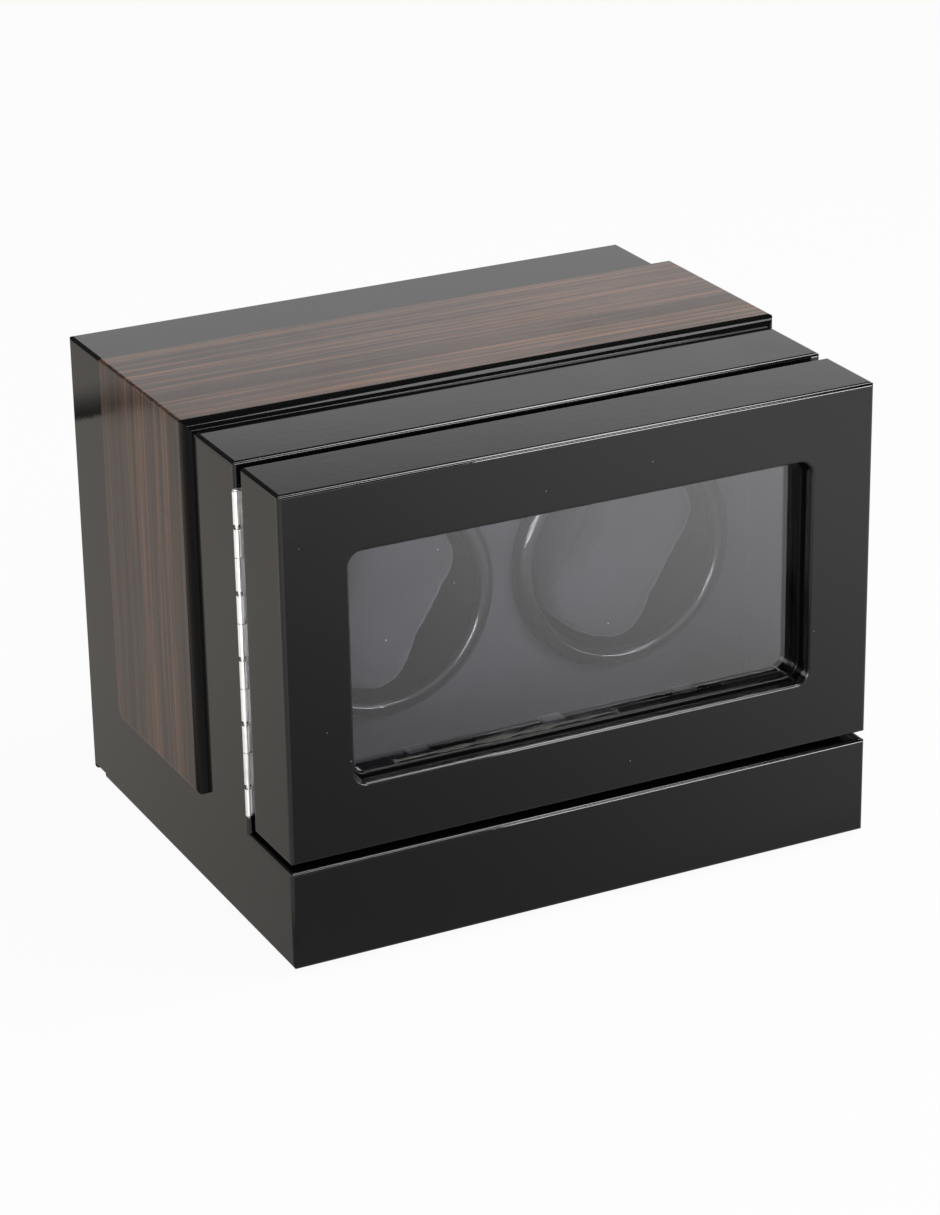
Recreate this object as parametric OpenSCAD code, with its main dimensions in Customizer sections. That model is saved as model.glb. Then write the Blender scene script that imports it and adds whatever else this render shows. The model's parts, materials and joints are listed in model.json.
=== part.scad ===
// Two-place watch winder box: a lacquered case with a glazed side-hung door, a raised veneer
// band, and two geared cups that each turn a watch on its cushion. X is across the front,
// Y runs from the door to the rear, Z is up from the underside of the feet.

/* [Case] */
// Width of the case over its two sides
case_w = 230; // [224:1:260]
// Depth of the case from the door face to the rear edge
case_d = 188; // [184:1:215]
// Height of the case without its feet
case_h = 175; // [170:1:200]
// Thickness of the lacquered boards
board_t = 10; // [9:0.5:12]
// Height of the plinth that the door closes above
plinth_h = 37; // [32:1:42]
// Radius of the outer lacquered edges
edge_r = 1.4; // [0.6:0.1:1.8]
// Length of the reliefs in the lower edge at the rear corners
relief_l = 10; // [6:1:14]
// Height of the reliefs
relief_h = 2.2; // [1.5:0.1:3]
// Height of the feet below the case
foot_h = 2.5; // [2:0.5:8]
// Diameter of a foot
foot_d = 16; // [12:1:18]
// Thickness of the board that closes the plinth from below
base_board_t = 4; // [3:0.5:6]
// Size of the square corner blocks that the base board and the rear cover are screwed to
block_w = 14; // [12:1:16]

/* [Veneer band] */
// How far the band stands proud of the case
band_t = 3; // [2:0.5:4]
// Depth of the plain shoulder in front of the band
shoulder_run = 35.3; // [30:0.1:40]
// Depth of the band's black rounded nose
nose_run = 4.5; // [4:0.5:8]
// Depth of the veneered part of the band
veneer_run = 74; // [60:1:76]
// Radius of the band's lower rear corners
band_corner_r = 5; // [2:0.5:8]
// Radius of the band's long top edges
band_edge_r = 1; // [0.5:0.1:1.5]

/* [Door] */
// Thickness of the door
door_t = 31; // [28:0.5:34]
// Gap below the door
door_gap = 2.8; // [1.5:0.1:4]
// Gap between the closed door and the shoulder
hinge_gap = 5.2; // [4.8:0.1:6]
// Width of the door's rails around the window
rail_w = 25; // [22:0.5:30]
// Radius of the window's corners
window_r = 5; // [3:0.5:8]
// Radius of the window's front edge
arris_r = 1; // [0.4:0.1:1.5]
// Depth of the glass behind the door face
glass_set = 8.5; // [6:0.5:15]
// Thickness of the glass
glass_t = 3; // [2:0.5:4]
// Step of the rebate that holds the glass
rebate_w = 6; // [5:0.5:8]
// Width of the bead in front of the glass
bead_w = 1.6; // [1:0.1:2.5]
// Depth of the bead in front of the glass
bead_run = 3; // [2:0.5:4]
// Depth of the frame that holds the glass from behind
retainer_run = 4.3; // [3:0.1:8]

/* [Door hinge] */
// Length of the piano hinge
hinge_l = 121; // [100:1:122]
// Height of the hinge's lower end above the door's lower edge
hinge_lift = 4.8; // [3:0.1:6]
// Diameter of a hinge knuckle
knuckle_d = 2.5; // [2.3:0.1:2.8]
// Number of knuckles
knuckles = 10; // [6:2:12]
// Diameter of the hinge pin
hinge_pin_d = 1.2; // [0.9:0.1:1.2]
// Thickness of a hinge leaf
leaf_t = 0.5; // [0.4:0.05:0.5]
// Width of a hinge leaf beyond the pin
leaf_w = 9; // [8:0.5:9]
// Open gap at every second knuckle
knuckle_notch = 1.8; // [1:0.1:2.5]
// Number of screws in a leaf
leaf_screws = 4; // [3:1:6]

/* [Catch] */
// Diameter of the catch magnets
magnet_d = 6; // [5:0.5:6.5]
// Depth of a magnet in the case
magnet_bed = 5; // [4:0.5:7]
// Height of the magnets above and below the door's middle
magnet_rise = 48; // [40:1:52]
// Thickness of the steel keepers in the door
keeper_t = 1.2; // [1:0.1:2]

/* [Cups] */
// Gap between the rims of the two cups
rim_gap = 8.6; // [6:0.1:12]
// Gap between a rim and the side board of the case
rim_side_gap = 11.7; // [10:0.1:14]
// Radius of the rim's outer front edge
rim_outer_r = 4.5; // [3.5:0.1:4.5]
// Radius of the rim's inner front edge
rim_inner_r = 2.5; // [1.5:0.1:2.5]
// How far a rim stands in front of the cup panel
rim_proud = 6.5; // [6:0.5:8]
// How far a rim reaches beyond its cup
rim_lap = 3.5; // [3:0.1:4.5]
// Wall of a cup
cup_wall = 2.5; // [2:0.1:3]
// Depth inside a cup
cup_depth = 49; // [45:0.5:52]
// Thickness of a cup's floor
cup_floor = 3; // [2.5:0.5:4]
// Diameter of the boss behind a cup
hub_d = 18; // [14:1:22]
// Angle at which the cups have stopped
cup_turn = 60; // [0:5:180]

/* [Cushions] */
// Gap between a cushion's rounded ends and its cup
cushion_gap = 3; // [2.5:0.5:5]
// Width of a cushion between its two flats
cushion_w = 47; // [42:0.5:52]
// How far a cushion stands in front of the cup's rim
cushion_proud = 0.5; // [0:0.5:2]

/* [Lining] */
// Thickness of the covered lining boards
lining_t = 1.5; // [1:0.1:2]
// Thickness of the panel round the cups
panel_t = 4; // [3:0.5:5]
// Width of the gap round a cup in the panel
panel_gap = 1.5; // [1:0.1:1.8]
// Thickness of the cleats along the case's sides
cleat_t = 9; // [8:0.5:10]

/* [Gear train] */
// Gear module
gear_m = 1; // [1:0.02:1.06]
// Teeth of the gear on a cup's shaft
gear_teeth = 45; // [42:3:48]
// Teeth of the motor pinion
pinion_teeth = 15; // [14:1:16]
// Face width of the gear
gear_face = 6; // [5:0.5:7]
// Number of lightening holes in the gear
gear_holes = 6; // [4:1:6]
// Diameter of a cup's shaft
shaft_d = 6; // [5:0.5:7]
// Free depth between the motors and the rear cover
works_gap = 12.2; // [9:0.1:16]
// Thickness of the board that carries the cups
carrier_t = 6; // [5:0.5:8]
// Thickness of a motor plate
plate_t = 2; // [1.5:0.1:3]
// Radial clearance of a turning shaft in its bush
running_gap = 0.05; // [0.03:0.01:0.08]
// Diameter of a motor
motor_d = 25; // [22:0.5:26]
// Length of a motor with its reduction gear
motor_l = 24; // [20:1:26]
// Diameter of a motor's output shaft
motor_shaft_d = 3; // [2.5:0.5:4]

/* [Circuit board] */
// Width of the circuit board
pcb_w = 34; // [28:1:38]
// Height of the circuit board
pcb_h = 52; // [44:1:60]
// Thickness of the circuit board
pcb_t = 1.6; // [1:0.1:2]
// Length of its spacers
pcb_stand = 4; // [3:0.5:6]

/* [Rear cover] */
// Thickness of the rear cover
cover_t = 3; // [2.5:0.5:4]
// Depth of the rear cover inside the rear edge
cover_inset = 8; // [7:0.5:9]
// Diameter of a mode knob
knob_d = 15; // [12:0.5:18]
// Distance of the mode knobs from the middle
knob_x = 32; // [28:0.5:40]
// Height of the controls above the cup axes
control_rise = 24; // [20:1:30]
// Width of the power switch
switch_w = 21; // [19:0.5:24]
// Height of the power switch
switch_h = 15; // [14:0.5:18]
// Slope of each half of the power rocker
rocker_slope = 8; // [5:1:10]
// Bore of the power inlet
inlet_bore = 5.6; // [5.5:0.1:6]
// Height of the power inlet above the compartment's floor
inlet_rise = 18; // [14:1:24]

/* [Hidden] */
$fn = 64;
tiny = 0.01;
fit_gap = 0.2;      // loose fit of a board in the case, on each side
screw_gap = 0.1;    // radial clearance of a screw or a stud in its hole
push_gap = 0.03;    // radial clearance of a pushed-on hub or bush
seat_gap = 0.3;     // gap between pieces that move past each other

// Sides of the box
left = -1;
right = 1;

// Places across the case and up from the underside of the feet
half_w = case_w / 2;
cavity_x = half_w - board_t;
case_z = foot_h;
case_top = case_z + case_h;
floor_z = case_z + plinth_h;
ceiling_z = case_top - board_t;
axis_z = (floor_z + ceiling_z) / 2;
rim_d = cavity_x - rim_side_gap - rim_gap / 2;
axis_x = (rim_d + rim_gap) / 2;
block_x = cavity_x - block_w / 2;
foot_recess = foot_h * 0.6;

// Places along the depth, measured from the door face
shoulder_d = door_t + hinge_gap;
band_d = shoulder_d + shoulder_run;
veneer_d = band_d + nose_run;
cover_back_d = case_d - cover_inset;
cover_d = cover_back_d - cover_t;

// Works behind the cups, laid out forward from the rear cover
shaft_r = shaft_d / 2;
bush_r = shaft_r + 2;
bush_flange = 1.5;
bush_flange_r = bush_r + 2;
bush_tail = 1;
gear_clear = 3;
plate_back_d = cover_d - works_gap - motor_l;
plate_d = plate_back_d - plate_t;
gear_d = plate_d - gear_clear - gear_face;
carrier_back_d = gear_d - seat_gap - bush_tail;
carrier_d = carrier_back_d - carrier_t;
hub_back_d = carrier_d - bush_flange - seat_gap;
pillar_r = 2.5;
pillar_spigot = 4;
pillar_x = 20;
pillar_top = 20;
pillar_margin = 5;
motor_shaft_r = motor_shaft_d / 2;
gear_r = gear_m * gear_teeth / 2;
pinion_r = gear_m * pinion_teeth / 2;
mesh_l = gear_r + pinion_r;
motor_z = axis_z - mesh_l;
pinion_face = gear_face + 1;
gear_backlash = 0.24;
pressure_angle = 20;
addendum = 0.85;
dedendum = 1.15;
gear_hub_r = 8;
motor_boss_r = 3.5;
motor_screw_x = 8.5;
pcb_d = carrier_back_d + pcb_stand;

// Body of a mode switch: width, height and depth
mode_body = [13, 13, 8];
// One of its three solder tags, their pitch, and how far they lie from the rear cover
mode_tag = [1, 3, 0.6];
tag_pitch = 4;
tag_set = 3;
// Parts on the circuit board: width, height and how far they stand out of it
wire_socket = [9, 7, 5.5];
wire_socket_x = 6;
wire_socket_top = 12;
wire_socket_foot = 16;
chip = [8, 12, 2];
capacitors = [[6, 8], [5, 6]];

// Cup sizes
rim_r = rim_d / 2;
rim_crest_r = rim_r - rim_outer_r;
rim_bore_r = rim_crest_r - rim_inner_r;
cup_r = rim_r - rim_lap;
cup_bore_r = cup_r - cup_wall;
cushion_l = 2 * (cup_bore_r - cushion_gap);
hub_run = 7;
cup_back_d = hub_back_d - hub_run;
cup_floor_d = cup_back_d - cup_floor;
rim_front_d = cup_floor_d - cup_depth;
cup_front_d = rim_front_d + rim_outer_r;
shaft_bed = cup_floor - 1;
cushion_d = rim_front_d - cushion_proud;
cushion_back_d = cup_floor_d - seat_gap;

// The cup panel, and the lined compartment in front of it
panel_d = rim_front_d + rim_proud;
panel_back_d = panel_d + panel_t;
rim_back_d = panel_d - 0.5;
lining_run = panel_d - shoulder_d;

// Fasteners: shank diameter, head diameter and head height
wood_screw = [3, 6, 1.8];
small_screw = [2, 4, 1.3];
leaf_screw = [1.4, 2.8, 0.7];
wood_screw_l = 14;
small_screw_l = 6;
leaf_screw_l = 6;

// Door sizes
door_z = floor_z + door_gap;
door_h = case_top - door_z;
window_w = case_w - 2 * rail_w;
window_h = door_h - 2 * rail_w;
window_z = door_z + door_h / 2;
retainer_d = glass_set + glass_t + fit_gap;
retainer_back_d = retainer_d + retainer_run;
clip_w = 8;
clip_l = 12;
clip_t = 0.8;
clip_slack = 0.2;
clip_hole_x = 5;
catch_x = cavity_x + board_t / 2 - 0.6;
keeper_r = magnet_d / 2 + 0.5;

// Hinge sizes
knuckle_r = knuckle_d / 2;
hinge_d = shoulder_d - knuckle_r;
hinge_z = door_z + hinge_lift;
knuckle_pitch = hinge_l / knuckles;
knuckle_slit = 0.3;
leaf_start = knuckle_r + 0.4;
crank_start = knuckle_r + 1;
leaf_screw_x = (leaf_start + leaf_w) / 2 + 0.8;

// Rear control sizes
control_z = axis_z + control_rise;
knob_h = 6;
knob_lift = 1.3;
spindle_r = 2;
inlet_z = floor_z + inlet_rise;
inlet_r = inlet_bore / 2 + 1.2;
inlet_body = 12;
inlet_flange = 1.5;
inlet_nut_t = 2;
switch_flange = 1.5;
switch_body = 12;
switch_wall = 1.4;
switch_lip = 2;
rocker_r = switch_w / 2 - switch_lip - switch_wall - seat_gap;
rocker_half_h = switch_h / 2 - switch_lip - switch_wall - seat_gap;
rocker_pivot = 1.8;
trunnion_r = 1.1;
trunnion_l = 1;

// Turns a depth behind the door face into a place along Y
function y_at(depth) = depth - case_d / 2;

// ---------------------------------------------------------------- shared shapes
// A rectangle with round corners, from its lowest corner
module round_rect(w, h, r) {
    translate([r, 0]) square([w - 2 * r, h]);
    translate([0, r]) square([w, h - 2 * r]);
    for (x = [r, w - r], y = [r, h - r]) translate([x, y]) circle(r);
}

// The same, round its own middle
module round_rect_mid(w, h, r) {
    translate([-w / 2, -h / 2]) round_rect(w, h, r);
}

// A box with all its edges rounded, from its lowest corner
module rounded_box(size, r) {
    intersection() {
        linear_extrude(size[2]) round_rect(size[0], size[1], r);
        translate([0, size[1], 0]) rotate([90, 0, 0])
            linear_extrude(size[1]) round_rect(size[0], size[2], r);
        rotate([90, 0, 90]) linear_extrude(size[0]) round_rect(size[1], size[2], r);
    }
}

// A plain board that faces the door: x0 to x1 across, z0 to z1 up, its front at depth d
module facing_board(x0, x1, z0, z1, d, t) {
    translate([x0, y_at(d), z0]) cube([x1 - x0, t, z1 - z0]);
}

// A prism of an outline seen from the front, running back from depth d
module run_back(d, run) {
    translate([0, y_at(d) + run, 0]) rotate([90, 0, 0]) linear_extrude(run) children();
}

// A prism of an outline seen from the side (depth, height), running right from x
module run_across(x, run) {
    translate([x, 0, 0]) rotate([90, 0, 90]) linear_extrude(run) children();
}

// Stands children's +Z so that it points to the rear, from depth d
module to_rear(x, d, z) {
    translate([x, y_at(d), z]) rotate([-90, 0, 0]) children();
}

// Stands children's +Z so that it points to the front, from depth d
module to_front(x, d, z) {
    translate([x, y_at(d), z]) rotate([90, 0, 0]) children();
}

// A round bar along +Z with a hole through it
module tube(r_out, r_in, h) {
    difference() {
        cylinder(r = r_out, h = h);
        translate([0, 0, -tiny]) cylinder(r = r_in, h = h + 2 * tiny);
    }
}

// A domed screw with a cross recess; its shank points down from z = 0
module screw(kind, shank) {
    dome = kind[1] * 0.8;
    translate([0, 0, -shank]) cylinder(d = kind[0], h = shank + tiny);
    difference() {
        intersection() {
            cylinder(d = kind[1], h = kind[2]);
            translate([0, 0, kind[2] - dome]) sphere(dome);
        }
        for (a = [0, 90]) rotate(a) translate([-kind[1] * 0.28, -kind[1] * 0.06, kind[2] * 0.5])
            cube([kind[1] * 0.56, kind[1] * 0.12, kind[2]]);
    }
}

// The hole that a screw of one kind needs, down from z = 0
module screw_hole(kind, shank) {
    translate([0, 0, -shank]) cylinder(d = kind[0] + 2 * screw_gap, h = shank + tiny);
}

// Cuts the edge of a round-cornered opening to a quarter round; the face is z = 0
module arris(w, h, corner, r) {
    for (a = [0, 90, 180, 270]) {
        across = a % 180 == 0 ? w : h;
        along = a % 180 == 0 ? h : w;
        rotate(a) translate([across / 2, 0, 0]) rotate([90, 0, 0])
            linear_extrude(along - 2 * corner, center = true) arris_profile(r);
        rotate(a) translate([across / 2 - corner, along / 2 - corner, 0])
            rotate_extrude(angle = 90) translate([corner, 0]) arris_profile(r);
    }
}

module arris_profile(r) {
    difference() {
        translate([-r, -r]) square(2 * r);
        translate([r, -r]) circle(r);
    }
}

// ---------------------------------------------------------------- case
// One full-width block of the case, from depth d to the rear edge
module case_block(d, h) {
    translate([-half_w, y_at(d), case_z]) rounded_box([case_w, case_d - d, h], edge_r);
}

module case_shell() {
    color("#111112") difference() {
        union() {
            case_block(0, plinth_h);
            case_block(shoulder_d, case_h);
        }
        // Compartment for the cups and their works, open to the front and the rear
        facing_board(-cavity_x, cavity_x, floor_z, ceiling_z, shoulder_d - 1,
            case_d - shoulder_d + 2);
        // Hollow of the plinth, open below
        translate([-cavity_x, y_at(board_t), case_z - 1])
            cube([2 * cavity_x, case_d - 2 * board_t, plinth_h - board_t + 1]);
        // Reliefs in the lower edge at the rear corners
        for (side = [left, right])
            translate([side * half_w - board_t / 2, y_at(case_d - 2 - relief_l), case_z - 1])
                cube([board_t, relief_l, relief_h + 1]);
        for (z = [-1, 1]) to_rear(catch_x, shoulder_d - 1, window_z + z * magnet_rise)
            cylinder(d = magnet_d + 2 * screw_gap, h = magnet_bed + 1 + screw_gap);
        case_leaf_places(shoulder_d) screw_hole(leaf_screw, leaf_screw_l);
    }
}

// Blocks in the corners of the plinth and behind the rear cover's corners
module corner_blocks() {
    color("#8c6b45") {
        base_places() difference() {
            translate([-block_w / 2, -block_w / 2, case_z + base_board_t])
                cube([block_w, block_w, plinth_h - board_t - base_board_t]);
            translate([0, 0, case_z + base_board_t]) screw_hole_up(wood_screw_l);
        }
        difference() {
            cover_places(cover_d) translate([-block_w / 2, -block_w / 2, -block_w])
                cube([block_w, block_w, block_w]);
            cover_places(cover_d) screw_hole(wood_screw, wood_screw_l - cover_t);
        }
    }
}

// The hole of an upright wood screw that enters from below
module screw_hole_up(depth) {
    translate([0, 0, -tiny]) cylinder(d = wood_screw[0] + 2 * screw_gap, h = depth + tiny);
}

// The four corners of the plinth, in plan
module base_places() {
    inset = board_t + block_w / 2;
    for (x = [-block_x, block_x], d = [inset, case_d - inset])
        translate([x, y_at(d), 0]) children();
}

// The four corners of the rear cover; children's +Z points to the rear
module cover_places(d) {
    for (x = [-block_x, block_x], z = [floor_z + block_w / 2, ceiling_z - block_w / 2])
        to_rear(x, d, z) children();
}

module base_board() {
    color("#1b1a19") difference() {
        translate([-cavity_x + fit_gap, y_at(board_t + fit_gap), case_z])
            cube([2 * (cavity_x - fit_gap), case_d - 2 * (board_t + fit_gap), base_board_t]);
        base_places() translate([0, 0, case_z]) screw_hole_up(base_board_t + 1);
    }
}

module feet() {
    color("#1a1a1a") base_places() difference() {
        cylinder(d = foot_d, h = foot_h);
        translate([0, 0, -tiny]) cylinder(d = wood_screw[1] + 1, h = foot_recess + tiny);
        screw_hole_up(foot_h + 1);
    }
}

module foot_screws() {
    color("silver") base_places() translate([0, 0, foot_recess]) mirror([0, 0, 1])
        screw([wood_screw[0], wood_screw[1], foot_recess - 0.3], wood_screw_l);
}

// ---------------------------------------------------------------- veneer band
// The saddle over the top and sides, seen from the front
module saddle_outline() {
    difference() {
        translate([-half_w - band_t, floor_z])
            round_rect(case_w + 2 * band_t, case_h - plinth_h + band_t, band_edge_r);
        translate([-half_w, floor_z - 1]) square([case_w, case_h - plinth_h + 1]);
    }
}

module veneer_band() {
    color("#3b2a22") intersection() {
        run_back(veneer_d, veneer_run) saddle_outline();
        run_across(-case_w, 2 * case_w) translate([y_at(veneer_d) - band_corner_r, floor_z])
            round_rect(veneer_run + band_corner_r, 2 * case_h, band_corner_r);
    }
}

// The nose falls in one arc from the veneer down to the case
module band_nose() {
    arc_r = (nose_run * nose_run + band_t * band_t) / (2 * band_t);
    tip_r = nose_run * 0.45;
    color("#0d0d0e") intersection() {
        run_back(band_d, nose_run) saddle_outline();
        run_across(-case_w, 2 * case_w) {
            translate([y_at(band_d), floor_z])
                round_rect(2 * nose_run, case_h - plinth_h, tip_r);
            translate([y_at(veneer_d), case_top + band_t - arc_r]) circle(arc_r);
        }
        translate([0, 0, case_z]) linear_extrude(case_h + 2 * band_t) {
            translate([-half_w, y_at(band_d)]) square([case_w, nose_run]);
            for (side = [left, right])
                translate([side * (half_w + band_t - arc_r), y_at(veneer_d)]) circle(arc_r);
        }
    }
}

// ---------------------------------------------------------------- inside the case
module inner_lining() {
    color("#5c5c60") difference() {
        facing_board(-cavity_x, cavity_x, floor_z, ceiling_z, shoulder_d, lining_run);
        facing_board(-cavity_x + lining_t, cavity_x - lining_t, floor_z + lining_t,
            ceiling_z - lining_t, shoulder_d - 1, lining_run + 2);
    }
}

module cup_panel() {
    color("#5c5c60") difference() {
        facing_board(-cavity_x, cavity_x, floor_z, ceiling_z, panel_d, panel_t);
        for (side = [left, right]) to_rear(side * axis_x, panel_d - 1, axis_z)
            cylinder(r = cup_r + panel_gap, h = panel_t + 2);
    }
}

module side_cleats() {
    color("#8c6b45") difference() {
        for (side = [left, right]) translate([side * (cavity_x - cleat_t / 2), 0, 0])
            facing_board(-cleat_t / 2, cleat_t / 2, floor_z, ceiling_z, panel_back_d,
                carrier_d - panel_back_d);
        carrier_places(carrier_d) screw_hole(wood_screw, wood_screw_l - carrier_t);
    }
}

// Screws of the carrier board; children's +Z points to the rear
module carrier_places(d) {
    for (x = [-1, 1], z = [-1, 0, 1])
        to_rear(x * (cavity_x - cleat_t / 2), d, axis_z + z * (ceiling_z - floor_z) * 0.4)
            children();
}

module carrier_board() {
    color("#a98a5f") difference() {
        facing_board(-cavity_x + fit_gap, cavity_x - fit_gap, floor_z + fit_gap,
            ceiling_z - fit_gap, carrier_d, carrier_t);
        carrier_places(carrier_back_d + tiny) screw_hole(wood_screw, carrier_t + 1);
        for (side = [left, right]) {
            to_rear(side * axis_x, carrier_d - 1, axis_z)
                cylinder(r = bush_r + push_gap, h = carrier_t + 2);
            pillar_places(side, carrier_back_d) translate([0, 0, -pillar_spigot - screw_gap])
                cylinder(r = small_screw[0] / 2 + 0.5 + screw_gap, h = pillar_spigot + 1);
        }
        pcb_places(carrier_back_d + tiny) screw_hole(small_screw, small_screw_l);
    }
}

module carrier_screws() {
    color("silver") carrier_places(carrier_back_d) screw(wood_screw, wood_screw_l);
}

// ---------------------------------------------------------------- cups
// The rim's section: radius across, depth up
module rim_section() {
    intersection() {
        translate([rim_crest_r, rim_outer_r]) circle(rim_outer_r);
        translate([rim_crest_r, 0]) square([rim_outer_r, rim_outer_r]);
    }
    intersection() {
        translate([rim_crest_r, rim_inner_r]) circle(rim_inner_r);
        translate([rim_bore_r, 0]) square([rim_inner_r, rim_inner_r]);
    }
    translate([rim_bore_r, rim_inner_r]) square([rim_inner_r, rim_outer_r - rim_inner_r]);
    translate([cup_r + screw_gap, rim_outer_r - 1])
        square([rim_r - cup_r - screw_gap, rim_back_d - cup_front_d + 1]);
}

module cup_rim(side) {
    color("#0b0b0c") to_rear(side * axis_x, rim_front_d, axis_z)
        rotate_extrude($fn = 128) rim_section();
}

module cup(side) {
    color("#19191a") to_rear(side * axis_x, cup_front_d, axis_z) difference() {
        union() {
            cylinder(r = cup_r, h = cup_back_d - cup_front_d);
            cylinder(d = hub_d, h = hub_back_d - cup_front_d);
            // Ribs between the boss and the cup's back
            for (a = [0 : 60 : 300]) rotate(a)
                translate([0, -1, cup_back_d - cup_front_d - tiny])
                    cube([cup_r * 0.75, 2, hub_run * 0.4]);
        }
        translate([0, 0, -1]) cylinder(r = cup_bore_r, h = cup_floor_d - cup_front_d + 1);
        translate([0, 0, cup_back_d - cup_front_d - shaft_bed])
            cylinder(r = shaft_r + push_gap, h = hub_run + shaft_bed + 1);
    }
}

module cup_shaft(side) {
    length = plate_back_d + 3 - (cup_back_d - shaft_bed);
    color("silver") to_rear(side * axis_x, cup_back_d - shaft_bed, axis_z)
        cylinder(r = shaft_r, h = length);
}

// Outline of a cushion: a disc with two flats, as long as it is high
module cushion_outline() {
    intersection() {
        circle(d = cushion_l, $fn = 128);
        round_rect_mid(cushion_l + 2, cushion_w, 6);
    }
}

module cushion(side) {
    color("#6b6b70") translate([side * axis_x, 0, axis_z])
        run_back(cushion_d, cushion_back_d - cushion_d) rotate(cup_turn) cushion_outline();
}

// ---------------------------------------------------------------- gear train
function involute(angle) = tan(angle) * 180 / PI - angle;

// Half of a tooth's angle at radius r on a wheel of n teeth
function half_tooth(r, n) =
    let (pitch = gear_m * n / 2, base = pitch * cos(pressure_angle))
    90 / n - gear_backlash / 4 / pitch * 180 / PI + involute(pressure_angle)
        - (r > base ? involute(acos(base / r)) : 0);

// One flank's radii from the root to the tip
function flank(n) =
    let (pitch = gear_m * n / 2, base = pitch * cos(pressure_angle),
        root = pitch - dedendum * gear_m, low = max(root, base), tip = pitch + addendum * gear_m)
    concat(root < low ? [root] : [], [for (i = [0 : 3]) low + (tip - low) * i / 3]);

// Outline of a gear wheel with a tooth along +X
function gear_points(n) = [for (k = [0 : n - 1], side = [-1, 1], i = [0 : len(flank(n)) - 1])
    let (r = flank(n)[side < 0 ? i : len(flank(n)) - 1 - i],
        a = k * 360 / n + side * half_tooth(r, n))
    [r * cos(a), r * sin(a)]];

module cup_gear(side) {
    web_r = (gear_hub_r + gear_r - dedendum * gear_m) / 2;
    hole_r = (gear_r - dedendum * gear_m - gear_hub_r) / 2 - 1.5;
    color("#e8e4d8") to_rear(side * axis_x, gear_d, axis_z) difference() {
        union() {
            rotate(90) linear_extrude(gear_face) polygon(gear_points(gear_teeth));
            cylinder(r = gear_hub_r, h = gear_face + 1.5);
        }
        translate([0, 0, -1]) cylinder(r = shaft_r + push_gap, h = gear_face + 4);
        for (a = [0 : 360 / gear_holes : 359]) rotate(a) translate([web_r, 0, -1])
            cylinder(r = hole_r, h = gear_face + 2);
    }
}

module motor_pinion(side) {
    color("#e8e4d8") to_rear(side * axis_x, gear_d - 0.5, motor_z) difference() {
        rotate(-90 + 180 / pinion_teeth) linear_extrude(pinion_face)
            polygon(gear_points(pinion_teeth));
        translate([0, 0, -1]) cylinder(r = motor_shaft_r + push_gap, h = pinion_face + 2);
    }
}

module cup_bushes() {
    color("#b08d3c") for (side = [left, right]) {
        to_rear(side * axis_x, carrier_d - bush_flange, axis_z) difference() {
            union() {
                cylinder(r = bush_flange_r, h = bush_flange);
                cylinder(r = bush_r, h = bush_flange + carrier_t + bush_tail);
            }
            translate([0, 0, -1])
                cylinder(r = shaft_r + running_gap, h = carrier_t + bush_flange + bush_tail + 2);
        }
        to_front(side * axis_x, plate_back_d + bush_flange, axis_z) difference() {
            union() {
                cylinder(r = bush_flange_r, h = bush_flange);
                cylinder(r = bush_r, h = bush_flange + plate_t);
            }
            translate([0, 0, -1])
                cylinder(r = shaft_r + running_gap, h = plate_t + bush_flange + 2);
        }
    }
}

// The four pillars of one motor plate; children's +Z points to the rear
module pillar_places(side, d) {
    for (x = [-pillar_x, pillar_x], z = [axis_z + pillar_top, motor_z - motor_d / 2 - 3])
        to_rear(side * axis_x + x, d, z) children();
}

module plate_pillars() {
    color("#b08d3c") for (side = [left, right]) pillar_places(side, carrier_back_d)
        difference() {
            union() {
                cylinder(r = pillar_r, h = plate_d - carrier_back_d);
                translate([0, 0, -pillar_spigot])
                    cylinder(r = small_screw[0] / 2 + 0.5, h = pillar_spigot + tiny);
            }
            translate([0, 0, plate_d - carrier_back_d]) screw_hole(small_screw, small_screw_l);
        }
}

module motor_plate(side) {
    top = axis_z + pillar_top + pillar_margin;
    low = motor_z - motor_d / 2 - 3 - pillar_margin;
    color("#9a9c9f") difference() {
        run_back(plate_d, plate_t) translate([side * axis_x - pillar_x - pillar_margin, low])
            round_rect(2 * (pillar_x + pillar_margin), top - low, 4);
        to_rear(side * axis_x, plate_d - 1, axis_z)
            cylinder(r = bush_r + push_gap, h = plate_t + 2);
        to_rear(side * axis_x, plate_d - 1, motor_z)
            cylinder(r = motor_boss_r + screw_gap, h = plate_t + 2);
        pillar_places(side, plate_back_d + 1) screw_hole(small_screw, plate_t + 2);
        motor_screw_places(side, plate_d - 1) screw_hole(small_screw, plate_t + 2);
    }
}

// Screws of one motor; children's +Z points to the front
module motor_screw_places(side, d) {
    for (x = [-motor_screw_x, motor_screw_x]) to_front(side * axis_x + x, d, motor_z)
        children();
}

module plate_screws() {
    color("silver") for (side = [left, right]) {
        pillar_places(side, plate_back_d) screw(small_screw, small_screw_l);
        motor_screw_places(side, plate_d) screw(small_screw, small_screw_l);
    }
}

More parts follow.
